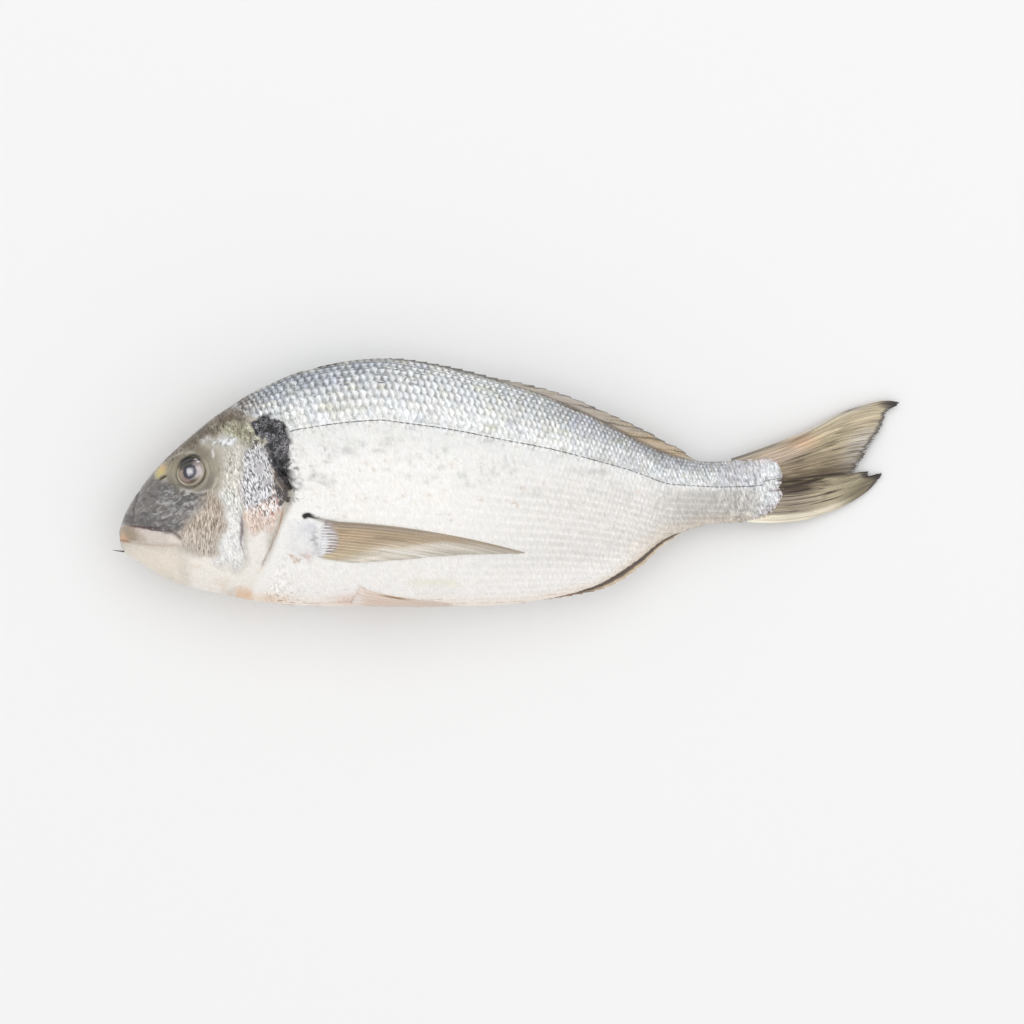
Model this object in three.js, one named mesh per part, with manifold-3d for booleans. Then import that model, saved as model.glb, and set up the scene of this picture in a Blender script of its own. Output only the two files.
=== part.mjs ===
// A whole raw sea bream, lying on its right side with the left flank up.
//
// Millimetres. +X runs from the snout to the tail, +Y from the belly to the back and +Z up, through
// the fish from flank to flank. The origin is under the middle of the fish, on the surface it lies on.

import * as THREE from "three";
import { mergeVertices } from "three/addons/utils/BufferGeometryUtils.js";
import Module from "manifold-3d";

const wasm = await Module();
wasm.setup();

// ---------------------------------------------------------------- driving sizes

// Section stations from the lips to the root of the tail. back and belly are the [x, y] ends of each
// section, mid is the height of the fish's middle plane there, and half is half the thickness.
const stations = [
  { back: [-150.2, -18.8], belly: [-149.4, -25.4], mid: 20.2, half: 1.7 },
  { back: [-149.0, -12.6], belly: [-147.0, -27.8], mid: 20.2, half: 5.0 },
  { back: [-144.5, -4.6], belly: [-142.0, -30.8], mid: 20.2, half: 8.0 },
  { back: [-137.0, 5.4], belly: [-134.5, -35.6], mid: 20.2, half: 10.6 },
  { back: [-125.0, 16.6], belly: [-124.0, -39.7], mid: 20.2, half: 13.4 },
  { back: [-110.0, 28.2], belly: [-110.0, -43.1], mid: 20.2, half: 16.4 },
  { back: [-94.0, 37.4], belly: [-94.0, -45.9], mid: 20.2, half: 19.0 },
  { back: [-75.0, 44.2], belly: [-75.0, -47.1], mid: 20.2, half: 20.7 },
  { back: [-50.0, 47.1], belly: [-50.0, -47.3], mid: 20.2, half: 21.3 },
  { back: [-27.0, 44.3], belly: [-25.0, -47.1], mid: 20.1, half: 20.7 },
  { back: [-4.0, 38.4], belly: [-2.0, -46.6], mid: 19.3, half: 18.9 },
  { back: [18.0, 31.1], belly: [18.0, -43.7], mid: 17.8, half: 16.1 },
  { back: [36.0, 22.7], belly: [34.0, -38.8], mid: 16.0, half: 12.8 },
  { back: [50.0, 15.3], belly: [48.0, -30.2], mid: 14.4, half: 9.8 },
  { back: [62.0, 10.4], belly: [60.0, -21.2], mid: 12.9, half: 7.4 },
  { back: [76.0, 7.7], belly: [76.0, -15.8], mid: 11.0, half: 5.6 },
  { back: [90.0, 9.2], belly: [90.0, -14.9], mid: 8.9, half: 4.0 },
  { back: [103.0, 11.4], belly: [103.0, -13.4], mid: 6.9, half: 1.6 },
];
const bellyFullness = 0.1; // how much fuller a section is towards the belly than towards the back
const pointsAround = 34; // vertices round a section
const headStep = 2.9; // spacing of the sections along the head
const flankStep = 7; // and behind it

const gillEdge = [[-96.5, 18], [-91.3, 8], [-84.3, -2], [-85, -9], [-91.3, -22], [-95.3, -31.5], [-101, -40.5]];
const gillLift = 1.6; // the gill cover's hind edge stands this far off the shoulder
const gillPlate = 20; // length over which the cover rises to its edge
const shoulder = 9; // and over which the flank behind it comes back to the plain section
const cheekEdge = [[-104.5, 6], [-103, -5], [-102.8, -18], [-104.5, -28], [-110, -36]];
const cheekLift = 0.7;
const cheekPlate = 24;
const mouthLine = [[-149.8, -22.2], [-145, -23.1], [-138, -24.1], [-131, -24.4], [-126.4, -23.6]];
const lipCrease = [[-147.5, -16.4], [-140, -17], [-132.5, -17.8], [-127.6, -19.2], [-125.6, -21.6]];
const lipLift = 0.8;

// Grooves: how far they open ahead of and behind their line, their depth, and the lean of the bottom.
const gillSlit = { ahead: 0.1, behind: 3.6, depth: 1.8, lean: 1.2 };
const cheekCrease = { ahead: 0.2, behind: 1.8, depth: 0.6, lean: 0 };
const mouthSlit = { ahead: 0.5, behind: 0.6, depth: 1.6, lean: 0 };
const lipGroove = { ahead: 0.6, behind: 0.6, depth: 0.7, lean: 0 };

const eye = { x: -122, y: 3.6, radius: 6, depth: 3.1, sunk: 1.0, gap: 0.3 };
const nostril = { x: -133.4, y: 2.2, length: 3.4, width: 1.5, depth: 1.6 };

const dorsal = { from: -50, to: 71, height: 3.6, peak: 0.66, spines: 11, rays: 13, notch: 0.9 };
const anal = { from: 12, to: 66, height: 3.6, peak: 0.6, spines: 3, rays: 11, notch: 0.5 };
const finThickness = { root: 2.6, edge: 0.9 };
const finRoot = 3; // how deep a fin's root is set into the body
const tailThickness = { root: 3.4, edge: 1.0 };
const tailRays = 9; // rays in each lobe
const rayRelief = 0.22; // height of a ray over the web of a fin
const ragged = 1.5; // how unevenly the worn rays of the tail end

// ---------------------------------------------------------------- curves and numbers

// A Catmull-Rom curve through equal-sized lists of numbers; at counts points from the first one.
function along(points, at) {
  const last = points.length - 1;
  const i = Math.min(Math.max(Math.floor(at), 0), last - 1);
  const t = at - i;
  const [p0, p1, p2, p3] = [i - 1, i, i + 1, i + 2].map((k) => points[Math.min(Math.max(k, 0), last)]);
  return p1.map((_, k) => {
    const m1 = i === 0 ? p2[k] - p1[k] : (p2[k] - p0[k]) / 2;
    const m2 = i === last - 1 ? p2[k] - p1[k] : (p3[k] - p1[k]) / 2;
    const cubic = 2 * p1[k] - 2 * p2[k] + m1 + m2;
    const square = -3 * p1[k] + 3 * p2[k] - 2 * m1 - m2;
    return ((cubic * t + square) * t + m1) * t + p1[k];
  });
}

const mix = (a, b, t) => a + (b - a) * t;
const smooth = (t) => THREE.MathUtils.smoothstep(t, 0, 1);

// A steady pseudo-random number between -1 and 1 for a whole number.
function jitter(n) {
  const value = Math.sin(n * 127.1 + 11.7) * 43758.5453;
  return 2 * (value - Math.floor(value)) - 1;
}

// A quadratic Bezier curve through the plane.
function bend(start, pull, end, t) {
  return start.map((v, k) => (1 - t) * (1 - t) * v + 2 * t * (1 - t) * pull[k] + t * t * end[k]);
}

// The same curve as a close row of points.
function traced(points) {
  const count = (points.length - 1) * 6;
  return Array.from({ length: count + 1 }, (_, i) => along(points, (i / count) * (points.length - 1)));
}

// The x of a traced curve that runs from high y to low y.
function edgeX(curve, y) {
  let i = 0;
  while (i < curve.length - 2 && curve[i + 1][1] > y) i += 1;
  const [a, b] = [curve[i], curve[i + 1]];
  return mix(a[0], b[0], (a[1] - y) / (a[1] - b[1]));
}

// ---------------------------------------------------------------- skin

const gillTrace = traced(gillEdge);
const cheekTrace = traced(cheekEdge);
const stationRows = stations.map((r) => [...r.back, ...r.belly, r.mid, r.half]);

// The section at a station: its middle, the vector from the middle to the back edge, and its half.
function section(at) {
  const [bx, by, cx, cy, mid, half] = along(stationRows, at);
  return { x: (bx + cx) / 2, y: (by + cy) / 2, dx: (bx - cx) / 2, dy: (by - cy) / 2, mid, half };
}

// How far the skin of the head stands out over the plain section at a place on the flank.
function headRelief(x, y) {
  const gill = x - edgeX(gillTrace, y);
  const cheek = x - edgeX(cheekTrace, y);
  const bandTop = smooth((gillEdge[0][1] + 4 - y) / 10);
  const bandFoot = smooth((y + 46) / 8);
  const gillRise = gill < 0 ? smooth(1 + gill / gillPlate) : 1 - smooth(gill / shoulder);
  const cheekRise = cheek < 0 ? smooth(1 + cheek / cheekPlate) : 1 - smooth(cheek / 4);
  let lift = gillLift * gillRise * bandTop * bandFoot;
  lift += cheekLift * cheekRise * bandFoot * smooth((6 - y) / 8);
  const lipTop = -17.5;
  const lipFoot = -24;
  const onLip = smooth((lipTop - y) / 1.5) * smooth((y - lipFoot) / 1.5) * smooth((-124.5 - x) / 3);
  lift += lipLift * onLip;
  const brow = Math.hypot((x - eye.x) / 9, (y - eye.y) / 8);
  lift += 0.9 * smooth(1.7 - brow);
  return lift;
}

// A point of the skin. turn goes once round the section: 0 is the back, a half the belly, and the
// quarter in between is the middle of the upper flank.
function skin(at, turn) {
  const cut = section(at);
  const c = Math.cos(turn * 2 * Math.PI);
  const s = Math.sin(turn * 2 * Math.PI);
  const x = cut.x + cut.dx * c;
  const y = cut.y + cut.dy * c;
  const bulge = cut.half * s * (1 - bellyFullness * c);
  const lift = headRelief(x, y) * s * smooth(cut.half / 8);
  return new THREE.Vector3(x, y, cut.mid + bulge + lift);
}

// The station and turn whose skin point has this x and y; side is 1 for the upper flank, -1 below.
function locate(x, y, side) {
  let low = 0;
  let high = stations.length - 1;
  for (let step = 0; step < 40; step += 1) {
    const at = (low + high) / 2;
    const cut = section(at);
    const c = (y - cut.y) / cut.dy;
    if (cut.x + cut.dx * c < x) low = at;
    else high = at;
  }
  const cut = section(low);
  const c = THREE.MathUtils.clamp((y - cut.y) / cut.dy, -1, 1);
  const turn = Math.acos(c) / (2 * Math.PI);
  return { at: low, turn: side > 0 ? turn : 1 - turn };
}

// The skin point at x and y, moved out along the skin's normal.
function onSkin(x, y, side, lift) {
  const { at, turn } = locate(x, y, side);
  const step = 0.02;
  const alongBody = skin(Math.max(at - step, 0), turn).sub(skin(at + step, turn));
  const across = skin(at, turn - step / 4).sub(skin(at, turn + step / 4));
  const normal = across.cross(alongBody).normalize();
  if (normal.z * side < 0) normal.negate();
  return skin(at, turn).addScaledVector(normal, lift);
}

// ---------------------------------------------------------------- closed meshes

// A closed tube through rings of equal size, with a fan to the middle of each end ring.
function loft(rings) {
  const around = rings[0].length;
  const points = rings.flat();
  const faces = [];
  for (let i = 0; i < rings.length - 1; i += 1) {
    for (let j = 0; j < around; j += 1) {
      const a = i * around + j;
      const b = i * around + ((j + 1) % around);
      faces.push([a, b, b + around], [a, b + around, a + around]);
    }
  }
  const ends = [0, rings.length - 1];
  for (const end of ends) {
    const middle = rings[end].reduce((sum, p) => sum.add(p), new THREE.Vector3()).divideScalar(around);
    points.push(middle);
    for (let j = 0; j < around; j += 1) {
      const a = end * around + j;
      const b = end * around + ((j + 1) % around);
      faces.push(end ? [points.length - 1, a, b] : [points.length - 1, b, a]);
    }
  }
  return solidFrom(points, faces);
}

// A closed plate between two grids of points that have the same rows and columns.
function plate(top, foot) {
  const rows = top.length;
  const columns = top[0].length;
  const points = [...top.flat(), ...foot.flat()];
  const under = rows * columns;
  const faces = [];
  const quad = (a, b, c, d) => faces.push([a, b, c], [a, c, d]);
  for (let i = 0; i < rows - 1; i += 1) {
    for (let j = 0; j < columns - 1; j += 1) {
      const a = i * columns + j;
      quad(a, a + columns, a + columns + 1, a + 1);
      quad(under + a, under + a + 1, under + a + columns + 1, under + a + columns);
    }
  }
  for (let i = 0; i < rows - 1; i += 1) {
    const left = i * columns;
    const right = left + columns - 1;
    quad(left, under + left, under + left + columns, left + columns);
    quad(right, right + columns, under + right + columns, under + right);
  }
  for (let j = 0; j < columns - 1; j += 1) {
    const first = j;
    const last = (rows - 1) * columns + j;
    quad(first, first + 1, under + first + 1, under + first);
    quad(last, under + last, under + last + 1, last + 1);
  }
  return solidFrom(points, faces);
}

// A manifold solid from points and triangles, turned so that its faces point out.
function solidFrom(points, faces) {
  const geometry = new THREE.BufferGeometry();
  geometry.setAttribute("position", new THREE.Float32BufferAttribute(points.flatMap((p) => [p.x, p.y, p.z]), 3));
  geometry.setIndex(faces.flat());
  return toSolid(geometry);
}

function toSolid(source) {
  const geometry = source.clone();
  geometry.deleteAttribute("normal");
  geometry.deleteAttribute("uv");
  const merged = mergeVertices(geometry, 1e-4);
  const vertProperties = new Float32Array(merged.attributes.position.array);
  const triVerts = new Uint32Array(merged.index.array);
  const make = () => new wasm.Manifold(new wasm.Mesh({ numProp: 3, vertProperties, triVerts }));
  const made = make();
  if (made.volume() > 0) return made;
  for (let i = 0; i < triVerts.length; i += 3) {
    [triVerts[i + 1], triVerts[i + 2]] = [triVerts[i + 2], triVerts[i + 1]];
  }
  return make();
}

function toGeometry(solid) {
  const mesh = solid.getMesh();
  const geometry = new THREE.BufferGeometry();
  geometry.setAttribute("position", new THREE.BufferAttribute(new Float32Array(mesh.vertProperties), 3));
  geometry.setIndex(new THREE.BufferAttribute(new Uint32Array(mesh.triVerts), 1));
  geometry.computeVertexNormals();
  return geometry;
}

// ---------------------------------------------------------------- body

function bodySolid() {
  const rings = [];
  const last = stations.length - 1;
  let at = 0;
  while (at < last) {
    rings.push(at);
    const here = section(at);
    const next = section(at + 0.01);
    const speed = Math.hypot(next.x - here.x + next.dx - here.dx, next.y - here.y + next.dy - here.dy) / 0.01;
    const spacing = here.x < gillEdge[2][0] + 4 ? headStep : flankStep;
    at += Math.min(spacing / speed, 0.5);
  }
  rings.push(last);
  return loft(
    rings.map((station) =>
      Array.from({ length: pointsAround }, (_, j) => skin(station, j / pointsAround)),
    ),
  );
}

// A wedge that cuts a groove along a line on the skin. ahead and behind are how far its walls reach
// to the two sides of the line, and lean tips the bottom of the groove forward.
function grooveCutter(line, side, { ahead, behind, depth, lean }) {
  const steps = (line.length - 1) * 3;
  const rings = [];
  for (let i = 0; i <= steps; i += 1) {
    const at = (i / steps) * (line.length - 1);
    const [x, y] = along(line, at);
    const [ax, ay] = along(line, Math.max(at - 0.05, 0));
    const [bx, by] = along(line, Math.min(at + 0.05, line.length - 1));
    const run = Math.hypot(bx - ax, by - ay);
    const [nx, ny] = [(by - ay) / run, -(bx - ax) / run];
    const taper = Math.min(1, 0.25 + 3 * Math.min(i, steps - i) / steps);
    const off = (reach, lift) => onSkin(x + nx * reach * taper, y + ny * reach * taper, side, lift);
    rings.push([off(ahead, 1), off(-behind, 0.4), off(lean, -depth * taper)]);
  }
  return loft(rings);
}

function eyeShape(side, grow) {
  const shape = new THREE.SphereGeometry(1, 16, 10);
  shape.scale(eye.radius + grow, eye.depth + grow, eye.radius + grow);
  const out = onSkin(eye.x, eye.y, side, 1).sub(onSkin(eye.x, eye.y, side, 0));
  const turn = new THREE.Quaternion().setFromUnitVectors(new THREE.Vector3(0, 1, 0), out);
  const place = onSkin(eye.x, eye.y, side, -eye.sunk);
  shape.applyMatrix4(new THREE.Matrix4().compose(place, turn, new THREE.Vector3(1, 1, 1)));
  return shape;
}

function nostrilCutter(side) {
  const shape = new THREE.SphereGeometry(1, 10, 6);
  shape.scale(nostril.length / 2, nostril.width / 2, nostril.depth);
  shape.rotateZ(-0.5);
  const place = onSkin(nostril.x, nostril.y, side, 0);
  shape.translate(place.x, place.y, place.z);
  return toSolid(shape);
}

// ---------------------------------------------------------------- fins on the middle plane

// How high a folded fin stands at a share of its length, with a step behind each spine or ray.
function finHeight(fin, share) {
  const rise = share < fin.peak ? smooth(share / fin.peak) : 1 - smooth((share - fin.peak) / (1 - fin.peak));
  const count = fin.spines + fin.rays;
  const step = share * count - Math.floor(share * count);
  const sawtooth = share * count < fin.spines ? fin.notch : fin.notch * 0.4;
  return fin.height * mix(0.12, 1, rise) - sawtooth * (1 - step) * rise;
}

// A low fin along the back (edge 1) or the belly (edge -1), leaning back as it lies folded.
function edgeFin(fin, edge) {
  const count = (fin.spines + fin.rays) * 2;
  const levels = [-finRoot, 0.2, 1];
  const top = [];
  const foot = [];
  for (let i = 0; i <= count; i += 1) {
    const share = i / count;
    const x = mix(fin.from, fin.to, share);
    const { at, turn } = locateEdge(x, edge);
    const root = skin(at, turn);
    const before = skin(at - 0.05, turn);
    const after = skin(at + 0.05, turn);
    const run = after.sub(before).setZ(0).normalize();
    const out = new THREE.Vector3(-run.y * edge, run.x * edge, 0);
    const height = Math.max(finHeight(fin, Math.min(share, 0.999)), 0.3);
    const pinch = i === 0 || i === count ? 0.5 : 1;
    const relief = i % 2 ? 0 : rayRelief;
    const column = (side) =>
      levels.map((level) => {
        const reach = level < 0 ? level : level * height * pinch;
        const thick = mix(finThickness.root, finThickness.edge, Math.max(level, 0)) / 2 + (level < 1 ? relief : 0);
        return root.clone().addScaledVector(out, reach).add(new THREE.Vector3(0, 0, side * thick));
      });
    top.push(column(1));
    foot.push(column(-1));
  }
  return plate(top, foot);
}

// The station where the back edge (1) or the belly edge (-1) passes an x.
function locateEdge(x, edge) {
  const turn = edge > 0 ? 0 : 0.5;
  let low = 0;
  let high = stations.length - 1;
  for (let step = 0; step < 40; step += 1) {
    const at = (low + high) / 2;
    if (skin(at, turn).x < x) low = at;
    else high = at;
  }
  return { at: low, turn };
}

// ---------------------------------------------------------------- tail

// Each lobe is a fan of rays: across 0 is its upper edge and 1 its lower edge. root, pull and end
// are the Bezier points of the rays, and the ends follow a short list of their own.
const upperLobe = {
  roots: [[91, 9.6], [98, -3.6]],
  pulls: [[128, 33.5], [116, -1.0]],
  ends: [[150.2, 31.2], [143.6, 26.2], [141.4, 20.6], [138.2, 15.4], [134.4, 10.2], [130.4, 4.2]],
  drop: 0,
};
const lowerLobe = {
  roots: [[97, 1.4], [91, -14.6]],
  pulls: [[115, 0.4], [120, -17.4]],
  ends: [[129.5, 2.8], [137.4, 2.9], [142.6, 3.2], [140.4, 0.2], [137.2, -3.0]],
  drop: 1.1,
};
const tailRows = 8; // steps along a ray
const tailMid = [[8.9], [6.6], [4.4], [3.0], [2.4]]; // height of the tail's middle from root to tip

function lobe(shape, seed) {
  const columns = tailRays * 2;
  const top = [];
  const foot = [];
  for (let i = 0; i <= tailRows; i += 1) {
    const t = i / tailRows;
    const topRow = [];
    const footRow = [];
    for (let j = 0; j <= columns; j += 1) {
      const across = j / columns;
      const start = shape.roots[0].map((v, k) => mix(v, shape.roots[1][k], across));
      const pull = shape.pulls[0].map((v, k) => mix(v, shape.pulls[1][k], across));
      const end = along(shape.ends, across * (shape.ends.length - 1));
      const worn = j > 0 && j < columns ? 1 - (ragged * (0.5 + 0.5 * jitter(j + seed))) / 40 : 1;
      const [x, y] = bend(start, pull, end, t * worn);
      const share = THREE.MathUtils.clamp((x - 91) / 59, 0, 1);
      const wave = 0.5 * Math.sin(across * 7 + seed) * share;
      const middle = along(tailMid, share * (tailMid.length - 1))[0] - shape.drop * smooth(share * 4) + wave;
      const relief = j % 2 ? rayRelief : 0;
      const rim = j === 0 || j === columns ? 0.5 : 1;
      const thick = mix(tailThickness.root, tailThickness.edge, smooth(share * 1.6)) / 2 * rim + relief;
      topRow.push(new THREE.Vector3(x, y, middle + thick));
      footRow.push(new THREE.Vector3(x, y, middle - thick));
    }
    top.push(topRow);
    foot.push(footRow);
  }
  return plate(top, foot);
}

// ---------------------------------------------------------------- fins that lie on the flanks

// A paired fin is a fan of rays too, laid on the skin: lift is its height over the skin at the root.
const pectoral = {
  roots: [[-72, -14.6], [-73, -28.6]],
  pulls: [[-34, -13.4], [-66, -29.8]],
  ends: [[6.4, -27], [-9, -27.2], [-24, -27.8], [-40, -29.2], [-61, -30.6]],
  rays: 7,
  rows: 9,
  lift: 1.7,
  edgeLift: 0.7,
};
const pelvic = {
  roots: [[-66, -39.4], [-67, -43.6]],
  pulls: [[-52, -41], [-54, -45.6]],
  ends: [[-30, -44.9], [-26.5, -45.3], [-35, -45.9], [-44, -46]],
  rays: 3,
  rows: 6,
  lift: 1.5,
  edgeLift: 0.6,
};
const sink = 1.2; // how far the underside of such a fin lies inside the body

function flankFin(fin, side) {
  const columns = fin.rays * 2;
  const top = [];
  const foot = [];
  for (let i = 0; i <= fin.rows; i += 1) {
    const t = i / fin.rows;
    const topRow = [];
    const footRow = [];
    for (let j = 0; j <= columns; j += 1) {
      const across = j / columns;
      const start = fin.roots[0].map((v, k) => mix(v, fin.roots[1][k], across));
      const pull = fin.pulls[0].map((v, k) => mix(v, fin.pulls[1][k], across));
      const end = along(fin.ends, across * (fin.ends.length - 1));
      const [x, y] = bend(start, pull, end, t);
      const rim = j === 0 || j === columns || i === 0 || i === fin.rows;
      const relief = j % 2 ? rayRelief : 0;
      const lift = rim ? 0.25 : mix(fin.lift, fin.edgeLift, t) + relief;
      topRow.push(onSkin(x, y, side, lift));
      footRow.push(onSkin(x, y, side, -sink));
    }
    top.push(topRow);
    foot.push(footRow);
  }
  return plate(top, foot);
}

// ---------------------------------------------------------------- the fish

function fishSolid() {
  let fish = bodySolid();
  fish = fish.add(edgeFin(dorsal, 1)).add(edgeFin(anal, -1));
  fish = fish.add(lobe(upperLobe, 3)).add(lobe(lowerLobe, 11));
  for (const side of [1, -1]) {
    fish = fish.add(flankFin(pectoral, side)).add(flankFin(pelvic, side));
    fish = fish.subtract(grooveCutter(gillEdge, side, gillSlit));
    fish = fish.subtract(grooveCutter(cheekEdge, side, cheekCrease));
    fish = fish.subtract(grooveCutter(mouthLine, side, mouthSlit));
    fish = fish.subtract(grooveCutter(lipCrease, side, lipGroove));
    fish = fish.subtract(toSolid(eyeShape(side, eye.gap)));
    fish = fish.subtract(nostrilCutter(side));
  }
  const table = new THREE.BoxGeometry(400, 200, 40);
  table.translate(0, 0, -20);
  return fish.subtract(toSolid(table)); // the flesh lies flat where it bears on the table
}

const skinMaterial = new THREE.MeshStandardMaterial({ color: 0xc9ccce, roughness: 0.35, metalness: 0.25 });
const eyeMaterial = new THREE.MeshStandardMaterial({ color: 0x565a60, roughness: 0.12, metalness: 0.0 });

const group = new THREE.Group();

const fishMesh = new THREE.Mesh(toGeometry(fishSolid()), skinMaterial);
fishMesh.name = "fish";
group.add(fishMesh);

for (const [name, side] of [["left_eye", 1], ["right_eye", -1]]) {
  const eyeMesh = new THREE.Mesh(eyeShape(side, 0), eyeMaterial);
  eyeMesh.name = name;
  group.add(eyeMesh);
}

export default group;
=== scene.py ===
import math

import bpy
import numpy as np
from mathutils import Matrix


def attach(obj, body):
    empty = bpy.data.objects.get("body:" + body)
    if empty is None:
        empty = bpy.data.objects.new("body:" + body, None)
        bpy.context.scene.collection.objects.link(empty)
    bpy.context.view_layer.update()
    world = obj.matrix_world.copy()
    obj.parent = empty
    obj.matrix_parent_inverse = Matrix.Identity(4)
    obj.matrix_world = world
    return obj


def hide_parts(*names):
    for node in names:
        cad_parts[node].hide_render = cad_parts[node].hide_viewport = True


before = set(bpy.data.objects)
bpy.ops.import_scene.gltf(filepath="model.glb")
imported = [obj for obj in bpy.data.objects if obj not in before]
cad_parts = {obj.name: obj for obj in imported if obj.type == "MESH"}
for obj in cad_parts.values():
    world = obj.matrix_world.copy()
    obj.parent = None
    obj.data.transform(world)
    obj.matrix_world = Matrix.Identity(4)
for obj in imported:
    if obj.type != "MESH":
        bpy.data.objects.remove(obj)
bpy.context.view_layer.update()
print("stage: frame loaded")

# A whole raw sea bream on its right side. Lengths are in millimetres until a mesh is made:
# x runs from snout to tail, y from belly to back and z up through the fish.
metre = 0.001


# numbers and curves

def smooth(t):
    t = np.clip(t, 0.0, 1.0)
    return t * t * (3 - 2 * t)


# 0 up to start and 1 from there on past over.
def rise(value, start, over):
    return smooth((value - start) / over)


# 1 until over short of the end and 0 from the end on.
def fall(value, end, over):
    return smooth((end - value) / over)


def mix(a, b, t):
    return a + (b - a) * t


def bell(distance, width):
    return np.exp(-((distance / width) ** 2))


# A soft round spot, strongest at its middle.
def dab(x, y, middleX, middleY, wide, tall):
    return bell(np.hypot((x - middleX) / wide, (y - middleY) / tall), 1.0)


# A Catmull-Rom curve through rows of numbers; at counts rows from the first one.
def along(rows, at):
    rows = np.asarray(rows, float)
    last = len(rows) - 1
    at = np.asarray(at, float)
    i = np.clip(np.floor(at).astype(int), 0, last - 1)
    t = (at - i)[..., None]
    before, here, after = rows[np.clip(i - 1, 0, last)], rows[i], rows[i + 1]
    later = rows[np.clip(i + 2, 0, last)]
    slopeIn = np.where((i == 0)[..., None], after - here, (after - before) / 2)
    slopeOut = np.where((i == last - 1)[..., None], after - here, (later - here) / 2)
    cubic = 2 * here - 2 * after + slopeIn + slopeOut
    square = -3 * here + 3 * after - 2 * slopeIn - slopeOut
    return ((cubic * t + square) * t + slopeIn) * t + here


def traced(points, steps=6):
    last = len(points) - 1
    return along(points, np.linspace(0, last, last * steps + 1))


# Signed distance from a line, positive on its left, and the share of the line passed.
def nearLine(points, x, y):
    line = traced(points)
    best = np.full(x.shape, 1e9)
    across = np.zeros(x.shape)
    share = np.zeros(x.shape)
    count = len(line) - 1
    for k in range(count):
        a = line[k]
        d = line[k + 1] - a
        t = np.clip(((x - a[0]) * d[0] + (y - a[1]) * d[1]) / (d @ d), 0, 1)
        px = x - a[0] - t * d[0]
        py = y - a[1] - t * d[1]
        away = np.hypot(px, py)
        closer = away < best
        best = np.where(closer, away, best)
        across = np.where(closer, away * np.where(d[0] * py - d[1] * px < 0, -1, 1), across)
        share = np.where(closer, (k + t) / count, share)
    return across, share


# A soft dark or light stroke along a line, thinner at its ends.
def stroke(points, width, x, y, fade=0.12):
    across, share = nearLine(points, x, y)
    ends = smooth(share / fade + 0.25) * smooth((1 - share) / fade + 0.25)
    return bell(across, width) * ends


# 1 well inside a closed outline and 0 outside, easing over soft millimetres.
def inside(outline, x, y, soft):
    corners = np.asarray(outline, float)
    away = np.full(x.shape, 1e9)
    within = np.zeros(x.shape, bool)
    for a, b in zip(corners, np.roll(corners, -1, 0)):
        d = b - a
        t = np.clip(((x - a[0]) * d[0] + (y - a[1]) * d[1]) / (d @ d), 0, 1)
        away = np.minimum(away, np.hypot(x - a[0] - t * d[0], y - a[1] - t * d[1]))
        climb = b[1] - a[1] if abs(b[1] - a[1]) > 1e-9 else 1e-9
        crosses = (a[1] > y) != (b[1] > y)
        within ^= crosses & (x < d[0] * (y - a[1]) / climb + a[0])
    return smooth(0.5 + np.where(within, away, -away) / soft)


def hashed(i, j, k, seed):
    n = (i * 73856093) ^ (j * 19349663) ^ (k * 83492791) ^ (seed * 26544357)
    n = ((n ^ (n >> 13)) * 1274126177) & 0xFFFFFFFF
    n = ((n ^ (n >> 15)) * 668265263) & 0xFFFFFFFF
    return ((n ^ (n >> 16)) & 0xFFFFFF) / 0xFFFFFF


# Value noise between -1 and 1.
def cloud(x, y, seed):
    i, j = np.floor(x).astype(np.int64), np.floor(y).astype(np.int64)
    u, v = smooth(x - i), smooth(y - j)
    total = 0.0
    for di, fu in ((0, 1 - u), (1, u)):
        for dj, fv in ((0, 1 - v), (1, v)):
            total = total + hashed(i + di, j + dj, 0, seed) * fu * fv
    return total * 2 - 1


def fuzz(x, y, seed, octaves=3):
    total, weight = 0.0, 1.0
    for level in range(octaves):
        total = total + cloud(x * 2 ** level, y * 2 ** level, seed + level) * weight
        weight *= 0.5
    return total / 1.75


# Patches of noise, 0 to 1: gain sharpens their edges and shift makes them wider.
def patches(x, y, seed, gain, shift, octaves=3):
    return smooth(fuzz(x, y, seed, octaves) * gain + shift)


# Uneven cells: distance to the cell's middle, width of the gap beside it, and the cell's number 0 to 1.
def cells(x, y, seed):
    i, j = np.floor(x).astype(np.int64), np.floor(y).astype(np.int64)
    first = np.full(x.shape, 9.0)
    second = np.full(x.shape, 9.0)
    name = np.zeros(x.shape)
    for di in (-1, 0, 1):
        for dj in (-1, 0, 1):
            cx = i + di + 0.5 + 0.8 * (hashed(i + di, j + dj, 0, seed) - 0.5)
            cy = j + dj + 0.5 + 0.8 * (hashed(i + di, j + dj, 1, seed) - 0.5)
            away = np.hypot(x - cx, y - cy)
            closer = away < first
            second = np.where(closer, first, np.minimum(second, away))
            name = np.where(closer, hashed(i + di, j + dj, 2, seed), name)
            first = np.where(closer, away, first)
    return first, second - first, name


# colours are given as screen values 0 to 255 and mixed so, then turned to light values at the end

def ground(colour, x):
    return np.broadcast_to(np.array(colour, float), x.shape + (3,)).copy()


def paint(tint, colour, mask):
    return mix(tint, np.asarray(colour, float), mask[..., None])


# A brush that lays the named colours of one palette over a tint, each as strongly as its mask says.
def brushFor(tint, palette):
    def lay(name, mask):
        tint[...] = paint(tint, palette[name], mask)

    return lay


def lightValues(tint):
    share = np.clip(tint / 255, 0, 1)
    return np.where(share <= 0.04045, share / 12.92, ((share + 0.055) / 1.055) ** 2.4)


# making meshes

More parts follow.
